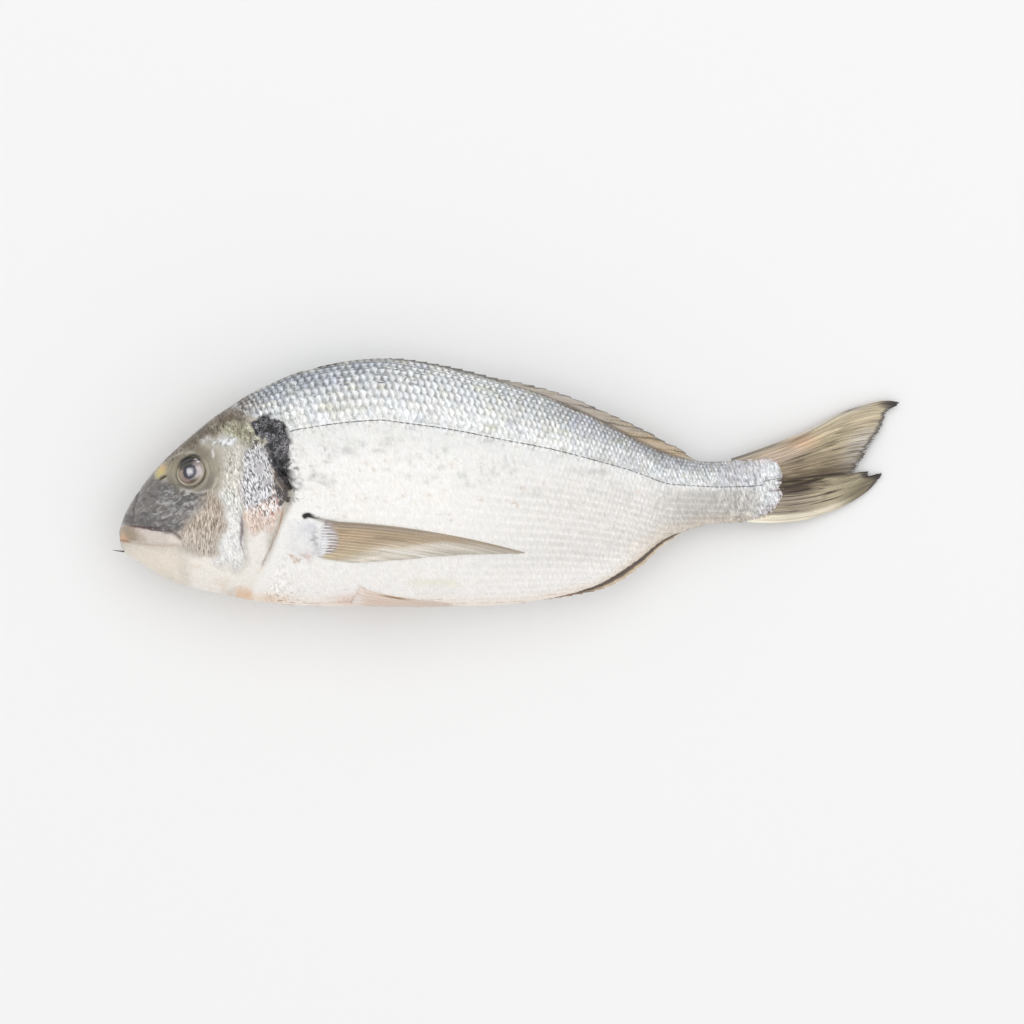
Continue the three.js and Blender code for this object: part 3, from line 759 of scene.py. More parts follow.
# The plain colour of the fish at a place on its flank, before scales, specks and grain.
def flankTint(x, y):
    top, foot, line = backY(x), bellyY(x), rowY(x)
    up = (y - line) / np.maximum(top - line, 1)
    down = (line - y) / np.maximum(line - foot, 1)
    f = flankColours
    rear = rise(x, -40, 90)
    back = paint(ground(f["backFront"], x), f["backMiddle"], rise(x, -78, 50))
    back = paint(back, f["backRear"], rise(x, -14, 40))
    tint = ground(f["belowLine"], x)
    lay = brushFor(tint, f)
    lay("aboveLine", smooth(up * 8 + 0.5))
    backward = mix(0.75, 0.95, fall(x, -20, 50))
    tint[...] = paint(tint, back, smooth((up - 0.12) / backward))
    lay("ridge", rise(up, 0.94, 0.08))
    lay("finRoot", rise(up, 0.93, 0.06) * rise(x, 14, 12) * fall(x, 68, 4) * 0.85)
    lay("flank", smooth(down / 0.25) * (1 - rear * 0.6))
    lay("flankRear", smooth(down / 0.3) * rear)
    lay("flankLow", rise(down, 0.7, 0.2))
    lay("belly", rise(down, 0.92, 0.08))
    lay("peduncle", rise(x, 48, 26) * smooth(down * 5))
    lay("silverBand", rise(x, 10, 30) * smooth(up * 8 + 0.5) * smooth(1.3 - up * 1.4) * 0.7)
    warm = rise(down, 0.6, 0.4) * rise(x, 36, 18) * fall(x, 100, 12)
    lay("warmRear", warm * 0.6)
    slate = rise(up, 0.4, 0.5) * rise(x, 20, 15) * fall(x, 78, 12)
    lay("slate", slate * 0.55)
    lay("tailTop", rise(x, 78, 8) * smooth(up * 2 + 0.7) * 0.7)
    lay("tailBase", smooth((x - 92 - 3 * fuzz(x / 3, y / 3, 36)) / 6) * 0.85)
    near = rise(x, -84, 10)
    olive = patches(x / 7, y / 4, 135, 2.2, -0.35) * smooth(up * 4) * fall(x, 70, 20)
    lay("oliveCast", 0.42 * olive)
    lilac = patches(x / 6, y / 4, 136, 2.2, -0.5) * smooth(up * 4) * fall(x, 52, 20)
    lay("lilacCast", 0.4 * lilac)
    stain = patches(x / 7, y / 4, 31, 1.8, -0.45)
    lay("stain", 0.42 * stain * smooth(1.4 - np.abs(down - 0.12) * 5) * near)
    dash = patches(x / 1.1, y / 2.4, 131, 2.4, -0.15) * patches(x / 12, y / 4, 132, 2, 0.1)
    dash = dash * smooth(1.5 - np.abs(down - 0.2) * 6) * near * fall(x, 52, 20)
    lay("dash", 0.45 * dash)
    dots = patches(x / 1.2, y / 1.2, 133, 3, -1.25) * smooth(1.4 - np.abs(down - 0.4) * 4) * near
    lay("dots", 0.5 * dots)
    scratch = veins(x / 6, y / 2.6, 0.035, 33) * patches(x / 9, y / 7, 34, 2, -0.25)
    lay("scratch", 0.4 * scratch * smooth(0.9 - np.abs(up) * 1.2) * near)
    lace = veins(x / 1.9, y / 1.7, 0.2, 37) * patches(x / 5, y / 5, 38, 2, 0.3)
    lace = lace * fall(x, -62, 14) * rise(y, -11, 6) * fall(y, 17, 5)
    lay("lace", 0.85 * lace)
    grey = patches(x / 9, y / 5, 39, 2, -0.35) * smooth(1.5 - np.abs(down - 0.1) * 4) * rear
    lay("grey", 0.5 * grey)
    blush = patches(x / 4, y / 3, 35, 2, -0.7) * smooth(down * 6) * near
    lay("blush", 0.25 * blush)
    lay("throatSpot", 0.6 * dab(x, y, -92, -44.8, 7, 2.4))
    lay("bellySpot", 0.6 * dab(x, y, -62, -45, 6, 2.4))
    for graze in grazes:
        lay("graze", 0.6 * stroke(graze, 0.5, x, y, 0.3))
    lay("yellow", 0.4 * stroke(yellowStreak, 1.3, x, y, 0.3))
    return tint


headColours = {
    "plain": (196, 190, 180), "forehead": (101, 90, 75), "foreheadRim": (138, 132, 124),
    "olive": (140, 135, 114), "olivePale": (228, 230, 204), "brightPatch": (246, 249, 254),
    "behindEye": (226, 222, 212), "oliveBand": (142, 135, 116), "eyeRing": (164, 157, 138),
    "underEye": (106, 101, 96), "snout": (127, 122, 118), "snoutDark": (92, 90, 91),
    "snoutPale": (172, 174, 175), "snoutBrown": (126, 112, 112), "gold": (190, 176, 148),
    "goldBright": (206, 192, 112), "goldOrange": (216, 176, 128), "cheek": (176, 161, 147),
    "whiteBand": (240, 238, 235), "greenTint": (218, 222, 214), "jaw": (236, 226, 212),
    "jawRear": (244, 238, 230), "upperLip": (216, 204, 195), "lipPale": (236, 226, 214),
    "lipShade": (158, 142, 124), "lipTip": (214, 172, 132), "opercle": (190, 188, 190),
    "redPatch": (228, 205, 190), "redStreak": (206, 138, 124), "redYellow": (232, 214, 180),
    "opercleFoot": (242, 237, 231), "throat": (240, 198, 164), "blotch": (12, 10, 12),
    "blotchStrand": (150, 148, 154), "blotchPale": (132, 124, 128), "membrane": (78, 68, 64),
    "lobe": (236, 235, 235), "lobeShade": (168, 168, 172), "line": (104, 84, 84),
    "gillFoot": (150, 132, 120), "gillRust": (166, 104, 66), "peach": (232, 212, 190),
    "dapple": (198, 190, 192), "aroundEye": (158, 151, 134), "aroundEyePale": (204, 200, 184),
    "aroundEyeDark": (116, 108, 90), "bandGrey": (176, 172, 174), "footGrey": (206, 204, 196),
    "foreheadMottle": (112, 104, 94), "nape": (168, 163, 160), "napePale": (208, 206, 203),
    "brightGround": (158, 157, 152), "snoutSpot": (204, 206, 208), "cheekLow": (216, 206, 196),
    "overEye": (124, 114, 100), "eyeWrinkle": (132, 124, 106), "eyeRim": (118, 110, 94),
    "socket": (134, 126, 106), "brow": (188, 184, 168), "browShade": (40, 38, 32),
    "mouth": (160, 122, 96), "snoutGroove": (88, 84, 84), "underEyeLine": (104, 98, 90),
    "underEyeLow": (196, 196, 190), "underEyeFold": (84, 78, 76), "glint": (244, 238, 248),
    "nostril": (66, 54, 26), "cheekLine": (128, 112, 118), "fissure": (86, 82, 84),
    "blotchLace": (104, 100, 102), "blotchFront": (150, 150, 154), "membraneTan": (172, 128, 100),
    "membraneDark": (30, 27, 28), "membraneRib": (176, 166, 142), "lobeFleck": (210, 212, 216),
    "lobeHollow": (208, 210, 216), "lobePink": (214, 178, 172), "axil": (150, 142, 132),
    "axilDark": (22, 19, 19), "tailFringe": (208, 200, 212),
}


headLines = [  # line and its colour, width, share over which its ends fade, strength
    ("snoutGroove", 0.42, 0.12, 0.75),
    ("underEyeLine", 0.42, 0.12, 0.75),
    # a painted highlight along the raised fold under the eye
    ("underEyeLow", 0.7, 0.3, 0.8),
    ("underEyeFold", 0.6, 0.12, 0.8),
    ("glint", 0.42, 0.3, 0.8),
]


# The same for the head, where it also has its outlines, lines and the surroundings of the eye.
def headTint(x, y):
    h = headColours
    wx, wy = wander(x, y, 2.2, 4.5, 41)
    fx, fy = wander(wx, wy, 0.9, 1.3, 141)
    lx, ly = wander(x, y, 0.45, 1.8, 143)
    fine = fuzz(x / 0.9, y / 0.9, 43)
    tint = ground(h["plain"], x)
    lay = brushFor(tint, h)
    lay("jawRear", area("jawRear", wx, wy, 5))
    lay("jaw", area("jaw", wx, wy, 10))
    dapple = patches(x / 1.1, y / 2.6, 74, 2, -0.2)
    peach = patches(x / 5, y / 1.6, 44, 1.7, -0.1) * fall(y, -29, 4)
    lay("peach", peach * 0.45)
    lay("behindEye", area("behindEye", wx, wy, 6))
    band = patches(x / 1.7, y / 9, 54, 2.2, 0.25) * fall(x, -104.5, 5)
    lay("oliveBand", area("behindEye", wx, wy, 7) * band * 0.9)
    lay("dapple", area("behindEye", wx, wy, 6) * dapple * 0.55)
    aroundEye = 1 - rise(np.hypot(x - eye["x"] - 1.5, (y - eye["y"]) * 0.9), 8.5, 5)
    lay("aroundEye", aroundEye * 0.85)
    lay("aroundEyePale", aroundEye * patches(fx / 0.8, fy / 2.6, 81, 2.8, -0.3, 2) * 0.5)
    lay("aroundEyeDark", aroundEye * patches(fx / 0.8, fy / 2.6, 82, 2.8, -0.4, 2) * 0.5)
    whiteBand = area("whiteBand", wx, wy, 4)
    lay("whiteBand", whiteBand)
    lay("greenTint", whiteBand * rise(y, -14, 8) * 0.8)
    lay("bandGrey", whiteBand * patches(x / 1.3, y / 1.1, 55, 2.2, -0.75) * 0.7)
    foot = area("opercleFoot", wx, wy, 4)
    lay("opercleFoot", foot)
    lay("footGrey", foot * patches(x / 1.1, y / 1.6, 56, 2.2, -0.6) * 0.6)
    lay("opercle", area("opercle", wx, wy, 3.5))
    forehead = area("forehead", fx, fy, 4)
    lay("forehead", forehead)
    lay("foreheadMottle", forehead * patches((x + y) / 2.2, (y - x) / 0.8, 57, 2, -0.1) * 0.6)
    shade = rise(behindHead(x, y), -9, 8) * forehead
    dots = patches((x + 0.6 * y) / 0.7, (y - 0.6 * x) / 1.6, 75, 2.6, -0.3, 2)
    lay("nape", shade * 0.3)
    lay("napePale", shade * dots * 0.9)
    lay("foreheadRim", forehead * patches(x / 2.4, y / 2.4, 58, 2, -0.1) * 0.5)
    olive = area("olive", fx, fy, 5)
    lay("olive", olive)
    dash = patches((x + 0.5 * y) / 0.62, (y - 0.3 * x) / 1.5, 45, 2.6, -0.1, 2)
    lay("olivePale", olive * dash * 0.95)
    bright = area("brightPatch", fx, fy, 3)
    glint = patches((x - 0.5 * y) / 0.7, (y + 0.3 * x) / 1.6, 46, 3.2, 0.35, 2)
    lay("brightGround", bright * 0.7)
    lay("brightPatch", bright * glint)
    snout = area("snout", wx, wy, 3.5)
    lay("snout", snout)
    lay("snoutDark", snout * patches(fx / 3.4, fy / 2.4, 47, 2.2, -0.05) * 0.8)
    lay("snoutDark", snout * dab(x, y, -132, -2.2, 6.0, 2.6) * 0.6)
    lay("snoutBrown", snout * patches(x / 6.0, y / 3.0, 59, 2, -0.2) * 0.55)
    lay("snoutDark", snout * fall(y, -11, 6) * 0.4)
    pale = patches((fx + 0.3 * fy) / 2.4, fy / 1.5, 48, 2.4, -0.35)
    pale = pale * mix(0.3, 1.0, rise(x, -137, 9)) * rise(y, -17, 5)
    lay("snoutPale", snout * pale * 0.85)
    spots = patches(x / 1.5, y / 1.0, 62, 2.4, -0.6) * rise(x, -135, 8) * rise(y, -15, 4)
    lay("snoutSpot", snout * spots * 0.75)
    cheek = area("cheek", wx, wy, 4)
    lay("cheek", cheek)
    lay("cheekLow", cheek * fall(y, -15, 7) * 0.6)
    gold = area("gold", fx, fy, 3)
    lay("gold", gold)
    lay("goldBright", gold * dab(fx, fy, -134.4, 3.7, 1.7, 1.4))
    lay("goldOrange", gold * dab(fx, fy, -133.4, 5.0, 1.5, 1.0) * 0.8)
    away = np.hypot(x - eye["x"], y - eye["y"])
    around = np.arctan2(y - eye["y"], x - eye["x"])
    ripple = away + 0.35 * fuzz(around * 3, away / 2, 63)
    lay("underEye", fall(away, 10.8, 2.5) * smooth(0.35 - np.sin(around)) * 0.95)
    overEye = smooth(np.sin(around - 0.25) * 1.6 - 0.1) * fall(away, 12.0, 3)
    lay("overEye", overEye * 0.7)
    lay("eyeRing", bell(ripple - 6.9, 1.3) * mix(0.75, 0.25, overEye))
    lay("eyeWrinkle", (bell(ripple - 7.7, 0.3) + bell(ripple - 8.9, 0.3) * 0.6) * 0.6)
    # Painted shade in a thin ring where the skin meets the eye, strongest on its lower front side.
    lay("eyeRim", bell(ripple - 6.1, 0.3) * (0.15 + 0.6 * smooth(-np.cos(around - 0.9))))
    lay("socket", fall(away, 5.75, 0.4) * 0.9)
    lay("brow", mark("brow", 0.5, lx, ly, 0.3) * 0.7)
    lay("browShade", mark("browShade", 0.55, x, y, 0.3) * 0.85)
    red = area("redPatch", fx, fy, 4)
    lay("redPatch", red)
    lay("redYellow", red * patches(x / 3, y / 3, 64, 2, 0) * 0.7)
    streak = patches(fx / 0.75, fy / 2.4, 51, 2.8, -0.55, 2)
    lay("redStreak", np.clip(red * 1.3, 0, 1) * streak * 0.85)
    lay("throat", area("throat", fx, fy, 5) * 0.85)
    lip = area("upperLip", lx, ly, 1.4)
    lay("upperLip", lip)
    lay("lipPale", lip * rise(lx, -133, 6) * 0.9)
    lay("lipShade", lip * smooth((-140 - fx - 0.5 * (fy + 19)) / 6) * 0.9)
    lay("lipTip", dab(fx, fy, -149.3, -20.6, 2.6, 1.5) * 0.85)
    lay("line", stroke(body["lipCrease"], 0.42, lx, ly, 0.08) * 0.85)
    mouth = stroke(body["mouthLine"], 0.5, lx, ly, 0.05)
    lay("mouth", mouth * mix(0.16, 0.9, fall(x, -144.5, 3)))
    for name, width, fade, strength in headLines:
        lay(name, mark(name, width, lx, ly, fade) * strength)
    lay("nostril", mark("nostril", 0.5, x, y, 0.3) * 0.95)
    across, share = nearLine(marks["cheekLine"], lx, ly)
    strength = rise(share, 0.15, 0.25) * fall(share, 0.97, 0.25)
    lay("cheekLine", bell(across, mix(0.3, 0.55, smooth(1.2 - np.abs(share - 0.45) * 5))) * strength)
    gillFoot = mark("gillFoot", 0.3, lx, ly, 0.3)
    rust = paint(ground(h["gillFoot"], x), h["gillRust"], rise(y, -24, 12))
    tint[...] = paint(tint, rust, gillFoot * 0.85)
    return tint + 6 * fine[..., None]


def blotchPlace(x, y):
    return wander(*wander(x, y, 1.6, 2.2, 73), 1.2, 1.0, 61)


# How strongly the cheek is streaked, the snout marbled, the gill cover crinkled and the blotch curled.
def headMasks(x, y):
    wx, wy = wander(*wander(x, y, 2.2, 4.5, 41), 0.9, 1.6, 142)
    masks = np.zeros(x.shape + (4,))
    behind = area("behindEye", wx, wy, 5)
    masks[..., 0] = np.maximum(area("cheek", wx, wy, 6), 0.45 * behind)
    masks[..., 0] *= 1 - fall(np.hypot(x - eye["x"], y - eye["y"]), 5.5, 2)
    masks[..., 1] = area("snout", wx, wy, 4) * mix(0.35, 1.0, rise(x, -141, 9))
    red = area("redPatch", wx, wy, 4)
    patchy = smooth(0.72 + fuzz(x / 3.2, y / 4.5, 76) * 1.1)
    masks[..., 2] = np.clip(area("opercle", wx, wy, 4) * patchy + 0.35 * red, 0, 1)
    masks[..., 2] = np.maximum(masks[..., 2], 0.2 * np.maximum(behind, area("whiteBand", wx, wy, 4)))
    bx, by = blotchPlace(x, y)
    masks[..., 3] = area("blotch", bx, by, 1.2) * mix(0.45, 1.0, rise(y, 7, 8))
    return masks


# How strongly fine flecks lighten and darken the skin of the head.
def headFlecks(x, y):
    wx, wy = wander(x, y, 2.2, 4.5, 41)
    strength = 0.012 + 0.26 * area("behindEye", wx, wy, 6) + 0.1 * area("whiteBand", wx, wy, 4)
    strength = strength + 0.3 * area("forehead", wx, wy, 4) + 0.3 * area("olive", wx, wy, 5)
    strength += 0.12 * area("redPatch", wx, wy, 4)
    return strength * fall(x, -70, 10)


shoulderFront = [
    [-113, 40], [-106.5, 34], [-103, 29], [-98.6, 25.2], [-87, 22], [-84.2, 17], [-84.4, 10], [-84.8, 4],
    [-82.2, -2], [-83, -9], [-87.4, -17.7], [-90, -24.9], [-93.1, -31.6], [-98.6, -40.5],
]


# How far behind the front line of the scales a place lies.
def behindHead(x, y):
    line = np.array(shoulderFront)
    return x - np.interp(-y, -line[:, 1], line[:, 0])


def fishTint(x, y):
    h = headColours
    tint = flankTint(x, y)
    high = rise(y, 25, 7)
    spread = mix(3.0, 15.0, high)
    start = mix(0.6, 0.75, high)
    head = 1 - smooth(behindHead(x, y) / spread + start + 0.3 * high * fuzz(x / 3, y / 3, 65))
    head = np.maximum(head, 0.85 * high * (1 - smooth(behindHead(x, y) / 13)))
    near = x < -60
    tint[near] = mix(tint[near], headTint(x[near], y[near]), head[near][..., None])
    xs, ys = x[near], y[near]
    part = tint[near]
    lay = brushFor(part, h)
    bx, by = blotchPlace(xs, ys)
    fissure = veins(bx / 2.4, by / 3.2, 0.07, 77) * fall(np.hypot((xs + 82.5) / 1.0, (ys - 3) / 2.6), 5.5, 4)
    lay("fissure", fissure * 0.8)
    blotch = area("blotch", bx, by, 1.2)
    behind = area("blotch", bx - 3.4, by, 5.0) * fall(ys, 10, 8)
    lay("blotchLace", behind * veins(xs / 1.0, ys / 1.3, 0.16, 79) * 0.7)
    lay("blotch", blotch)
    strand = veins(bx / 1.2, by / 1.7, 0.14, 66) * smooth(0.75 + fuzz(xs / 2.6, ys / 2.6, 67) * 2.2)
    lay("blotchStrand", blotch * strand * mix(0.3, 0.5, rise(ys, 6, 8)))
    left = blotch * smooth((-90.5 + (ys - 14) * -0.3 - xs) / 3)
    left = left * patches((xs + 0.5 * ys) / 0.8, ys / 2, 78, 2, 0)
    lay("blotchFront", left * 0.6)
    grain, _, name = cells(bx / 0.9, by / 0.9, 5)
    purple = area("blotchGlow", bx, by, 3)
    light = blotch * smooth(1.3 - grain * 2.2) * smooth(name * 1.6 - 0.1) * purple
    lay("blotchPale", light * 0.9)
    # The gill opening between the gill cover and the shoulder: a raised sheet painted dark as the shadow in
    # the gap, with a tan spot, patches of deeper painted shadow and a pale rib.
    membrane = area("membrane", bx, by, 0.9)
    lay("membrane", membrane)
    lay("membraneTan", membrane * dab(xs, ys, -90.6, 3.0, 1.0, 2.6) * 0.8)
    lay("membraneDark", membrane * patches(bx / 0.8, by / 2, 68, 2, -0.1) * 0.8)
    lay("membraneRib", mark("membraneRib", 0.28, xs, ys) * 0.8)
    lobe = area("lobe", xs, ys, 4)
    lay("lobe", lobe * 0.8)
    lay("lobeFleck", lobe * patches(xs / 1.3, ys / 1.1, 69, 2.2, -0.3) * 0.7)
    # Painted shade: a soft grey darkening over the middle of the lobe.
    lay("lobeHollow", lobe * dab(bx, by, -77.2, -17.5, 3.0, 3.2) * 0.6)
    groove = dab(bx, by, -74.5, -21.5, 0.7, 5)
    lay("lobeShade", groove * 0.85)
    lay("lobePink", dab(bx, by, -77, -28, 1.6, 1.2) * 0.6)
    axil = mark("axil", mix(0.95, 0.6, rise(xs, -78, 4)), xs, ys)
    lay("axil", smooth(axil * 1.4 - 0.1) * 0.7)
    lay("axilDark", smooth(axil * 1.8 - 0.3) * fall(xs, -73.6, 2.4) * 0.97)
    tint[near] = part
    rear = x > 74
    xs, ys = x[rear], y[rear]
    rx, ry = wander(*wander(xs, ys, 1.3, 1.6, 72), 1.1, 0.6, 80)
    finger = np.clip(fuzz(xs / 9, ys / 0.75, 83, 2) * 1.6 + 0.1, -0.3, 1.0)
    core = area("tailBase", rx - 0.4 + 2.6 * finger, ry * 1.02, 4.2)
    rim = 1 - core
    ray = fuzz(xs / 6, ys / 0.55, 70)
    rimTint = along(flankColours["tailRims"], np.clip((ys + 15) / 5, 0, 5.99)) * (1 + 0.22 * ray)[:, None]
    tint[rear] = mix(tint[rear], rimTint, rim[:, None])
    fringe = smooth(1.2 - np.abs(core - 0.5) * 2.4) * rise(xs, 90, 8)
    tint[rear] = paint(tint[rear], h["tailFringe"], fringe * 0.5)
    return tint


# finishes

speckle = {
    "detail": 3.0,
    "fineRoughness": 0.6,
    "broadScale": 260.0,
    "broadDetail": 2.0,
    "broadBand": [0.35, 0.65],
    "roughness": [0.24, 0.42],
}


# Fine grain in the colour, its height for the bump, and broad patches that are wetter and drier.
def makeSpeckle():
    tree, given, put = newGroup(
        "wetSpeckle", "ShaderNodeTree",
        [("Colour", "NodeSocketColor"), ("Size", "NodeSocketFloat"), ("Strength", "NodeSocketFloat")],
        [("Colour", "NodeSocketColor"), ("Height", "NodeSocketFloat"), ("Roughness", "NodeSocketFloat")],
    )
    place = addNode(tree, "ShaderNodeTexCoord").outputs["Object"]
    fine = addNode(
        tree, "ShaderNodeTexNoise",
        {"Vector": place, "Scale": given.outputs["Size"], "Detail": speckle["detail"],
         "Roughness": speckle["fineRoughness"]},
    ).outputs["Fac"]
    broad = addNode(
        tree, "ShaderNodeTexNoise",
        {"Vector": place, "Scale": speckle["broadScale"], "Detail": speckle["broadDetail"]},
    ).outputs["Fac"]
    swing = calc(tree, "MULTIPLY", calc(tree, "SUBTRACT", fine, 0.5), given.outputs["Strength"])
    colour = scaleBy(tree, given.outputs["Colour"], calc(tree, "ADD", swing, 1.0))
    low, high = speckle["broadBand"]
    wettest, driest = speckle["roughness"]
    wetness = addNode(
        tree, "ShaderNodeMapRange",
        {"Value": broad, "From Min": low, "From Max": high, "To Min": wettest, "To Max": driest},
    )
    tree.links.new(colour, put.inputs["Colour"])
    tree.links.new(fine, put.inputs["Height"])
    tree.links.new(wetness.outputs["Result"], put.inputs["Roughness"])
    return tree


wetSpeckle = makeSpeckle()


# A pattern of noise; size is the width of its marks in millimetres along x, y and z before it is turned.
def pattern(tree, place, size, turn, detail, distortion):
    turned = addNode(
        tree, "ShaderNodeMapping",
        {"Vector": place, "Rotation": (0, 0, turn), "Scale": [v * metre for v in size]},
        vector_type="TEXTURE",
    )
    noise = addNode(
        tree, "ShaderNodeTexNoise",
        {"Vector": turned.outputs[0], "Scale": 1.0, "Detail": detail, "Distortion": distortion},
    )
    return noise.outputs["Fac"]


# 0 where a value is at or before start, 1 at or past stop.
def band(tree, value, start, stop):
    node = addNode(tree, "ShaderNodeMapRange", {"Value": value, "From Min": start, "From Max": stop})
    return node.outputs["Result"]


def blend(tree, share, under, over, mode="MIX"):
    node = addNode(tree, "ShaderNodeMix", {0: share, 6: under}, data_type="RGBA", blend_type=mode)
    if isinstance(over, bpy.types.NodeSocket):
        tree.links.new(over, node.inputs[7])
    else:
        node.inputs[7].default_value = (*lightValues(np.array(over, float)), 1)
    return node.outputs[2]


headPatterns = {  # the noise, then where dark and pale marks begin and are full, with their colours
    "cheek": {
        "noise": [(0.42, 2.2, 2.2), -0.08, 1.5, 0.45],
        "dark": [0.5, 0.7, (126, 110, 97)],
        "pale": [0.5, 0.34, (226, 214, 199)],
    },
    "snout": {
        "noise": [(2.6, 1.5, 2.6), 0.5, 4.0, 0.8],
        "dark": [0.5, 0.72, (86, 83, 85)],
        "pale": [0.46, 0.26, (190, 191, 192)],
    },
    "gillCover": {
        "noise": [(0.55, 1.7, 1.7), 0.3, 2.5, 0.7],
        "dark": [0.51, 0.62, (84, 80, 84)],
        "pale": [0.51, 0.42, (250, 250, 253)],
    },
}
curls = {
    "noise": [(1.7, 2.2, 2.2), 0.2, 1.5, 3.4],
    "middle": 0.5,
    "width": 0.03,
    "patches": [(2.6, 2.6, 2.6), 0.9, 1.5, 0.4],
    "patchBand": [0.42, 0.56],
    "colour": (186, 184, 192),
}


# Fine marks of the head: Masks holds the strength of the cheek's, the snout's and the gill cover's marks.
def makeHeadMarks():
    tree, given, put = newGroup(
        "headMarks", "ShaderNodeTree",
        [("Colour", "NodeSocketColor"), ("Masks", "NodeSocketColor"), ("Blotch", "NodeSocketFloat")],
        [("Colour", "NodeSocketColor")],
    )
    place = addNode(tree, "ShaderNodeTexCoord").outputs["Object"]
    masks = addNode(tree, "ShaderNodeSeparateColor", {0: given.outputs["Masks"]})
    colour = given.outputs["Colour"]
    for k, marking in enumerate(headPatterns.values()):
        noise = pattern(tree, place, *marking["noise"])
        for start, full, shade in (marking["dark"], marking["pale"]):
            share = calc(tree, "MULTIPLY", band(tree, noise, start, full), masks.outputs[k])
            colour = blend(tree, share, colour, shade)
    noise = pattern(tree, place, *curls["noise"])
    thread = calc(tree, "COMPARE", noise, curls["middle"], curls["width"])
    patchy = band(tree, pattern(tree, place, *curls["patches"]), *curls["patchBand"])
    thread = calc(tree, "MULTIPLY", calc(tree, "MULTIPLY", thread, patchy), given.outputs["Blotch"])
    colour = blend(tree, thread, colour, curls["colour"])
    tree.links.new(colour, put.inputs["Colour"])
    return tree


headMarks = makeHeadMarks()


fleckPattern = {
    "noise": [(0.75, 2.1, 2.1), 0.3, 2.0, 0.5],
    "band": [0.32, 0.68],
    "swing": 1.6,
}


# Slanting flecks that lighten and darken the scales.
def makeFlecks():
    tree, given, put = newGroup(
        "slantFlecks", "ShaderNodeTree",
        [("Colour", "NodeSocketColor"), ("Strength", "NodeSocketFloat")],
        [("Colour", "NodeSocketColor")],
    )
    place = addNode(tree, "ShaderNodeTexCoord").outputs["Object"]
    noise = pattern(tree, place, *fleckPattern["noise"])
    low, high = fleckPattern["band"]
    swing = addNode(
        tree, "ShaderNodeMapRange",
        {"Value": noise, "From Min": low, "From Max": high,
         "To Min": -fleckPattern["swing"], "To Max": fleckPattern["swing"]},
    )
    gain = calc(tree, "MULTIPLY_ADD", swing.outputs["Result"], given.outputs["Strength"], 1.0)
    tree.links.new(scaleBy(tree, given.outputs["Colour"], gain), put.inputs["Colour"])
    return tree


slantFlecks = makeFlecks()


def finish(name, look):
    material = bpy.data.materials.new(name)
    material.use_nodes = True
    tree = material.node_tree
    shader = tree.nodes["Principled BSDF"]
    tint = addNode(tree, "ShaderNodeAttribute", attribute_name="tint", attribute_type="GEOMETRY")
    specks = addNode(tree, "ShaderNodeGroup", node_tree=wetSpeckle)
    colour = tint.outputs["Color"]
    if look.get("marked"):
        masks = addNode(tree, "ShaderNodeAttribute", attribute_name="masks", attribute_type="GEOMETRY")
        marked = addNode(
            tree, "ShaderNodeGroup",
            {"Colour": colour, "Masks": masks.outputs["Color"], "Blotch": masks.outputs["Alpha"]},
            node_tree=headMarks,
        )
        colour = marked.outputs["Colour"]
    if look.get("flecked"):
        fleck = addNode(tree, "ShaderNodeAttribute", attribute_name="fleck", attribute_type="GEOMETRY")
        flecked = addNode(
            tree, "ShaderNodeGroup", {"Colour": colour, "Strength": fleck.outputs["Fac"]},
            node_tree=slantFlecks,
        )
        colour = flecked.outputs["Colour"]
    tree.links.new(colour, specks.inputs["Colour"])
    specks.inputs["Size"].default_value = look["grainSize"]
    specks.inputs["Strength"].default_value = look["grainStrength"]
    tree.links.new(specks.outputs["Colour"], shader.inputs["Base Color"])
    if look.get("roughness") is None:
        tree.links.new(specks.outputs["Roughness"], shader.inputs["Roughness"])
    else:
        shader.inputs["Roughness"].default_value = look["roughness"]
    shader.inputs["Metallic"].default_value = look["metallic"]
    shader.inputs["Coat Weight"].default_value = look["coat"]
    shader.inputs["Coat Roughness"].default_value = look["coatRoughness"]
    shader.inputs["IOR"].default_value = look.get("ior", 1.4)
    if look.get("bump"):
        bump = addNode(tree, "ShaderNodeBump", {"Strength": look["bump"], "Distance": look["bumpDistance"]})
        tree.links.new(specks.outputs["Height"], bump.inputs["Height"])
        tree.links.new(bump.outputs["Normal"], shader.inputs["Normal"])
    return material


looks = {
    "skin": {
        "grainSize": 1500.0, "grainStrength": 0.35, "metallic": 0.05, "coat": 0.3, "coatRoughness": 0.2,
        "bump": 0.35, "bumpDistance": 0.00025, "marked": True, "flecked": True,
    },
    "scales": {
        "grainSize": 2200.0, "grainStrength": 0.22, "metallic": 0.12, "coat": 0.12, "coatRoughness": 0.3,
        "roughness": 0.46, "bump": 0.2, "bumpDistance": 0.00015, "flecked": True,
    },
    "fins": {
        "grainSize": 1800.0, "grainStrength": 0.4, "metallic": 0.0, "coat": 0.15, "coatRoughness": 0.25,
        "roughness": 0.45, "bump": 0.3, "bumpDistance": 0.0002,
    },
    "eyes": {
        "grainSize": 2500.0, "grainStrength": 0.15, "metallic": 0.1, "coat": 0.35, "coatRoughness": 0.05,
        "roughness": 0.3,
    },
}
skinFinish = finish("wetSkin", looks["skin"])
scaleFinish = finish("silverScales", looks["scales"])
finFinish = finish("finWeb", looks["fins"])
eyeFinish = finish("wetEye", looks["eyes"])
print("stage: finishes made")


# skin

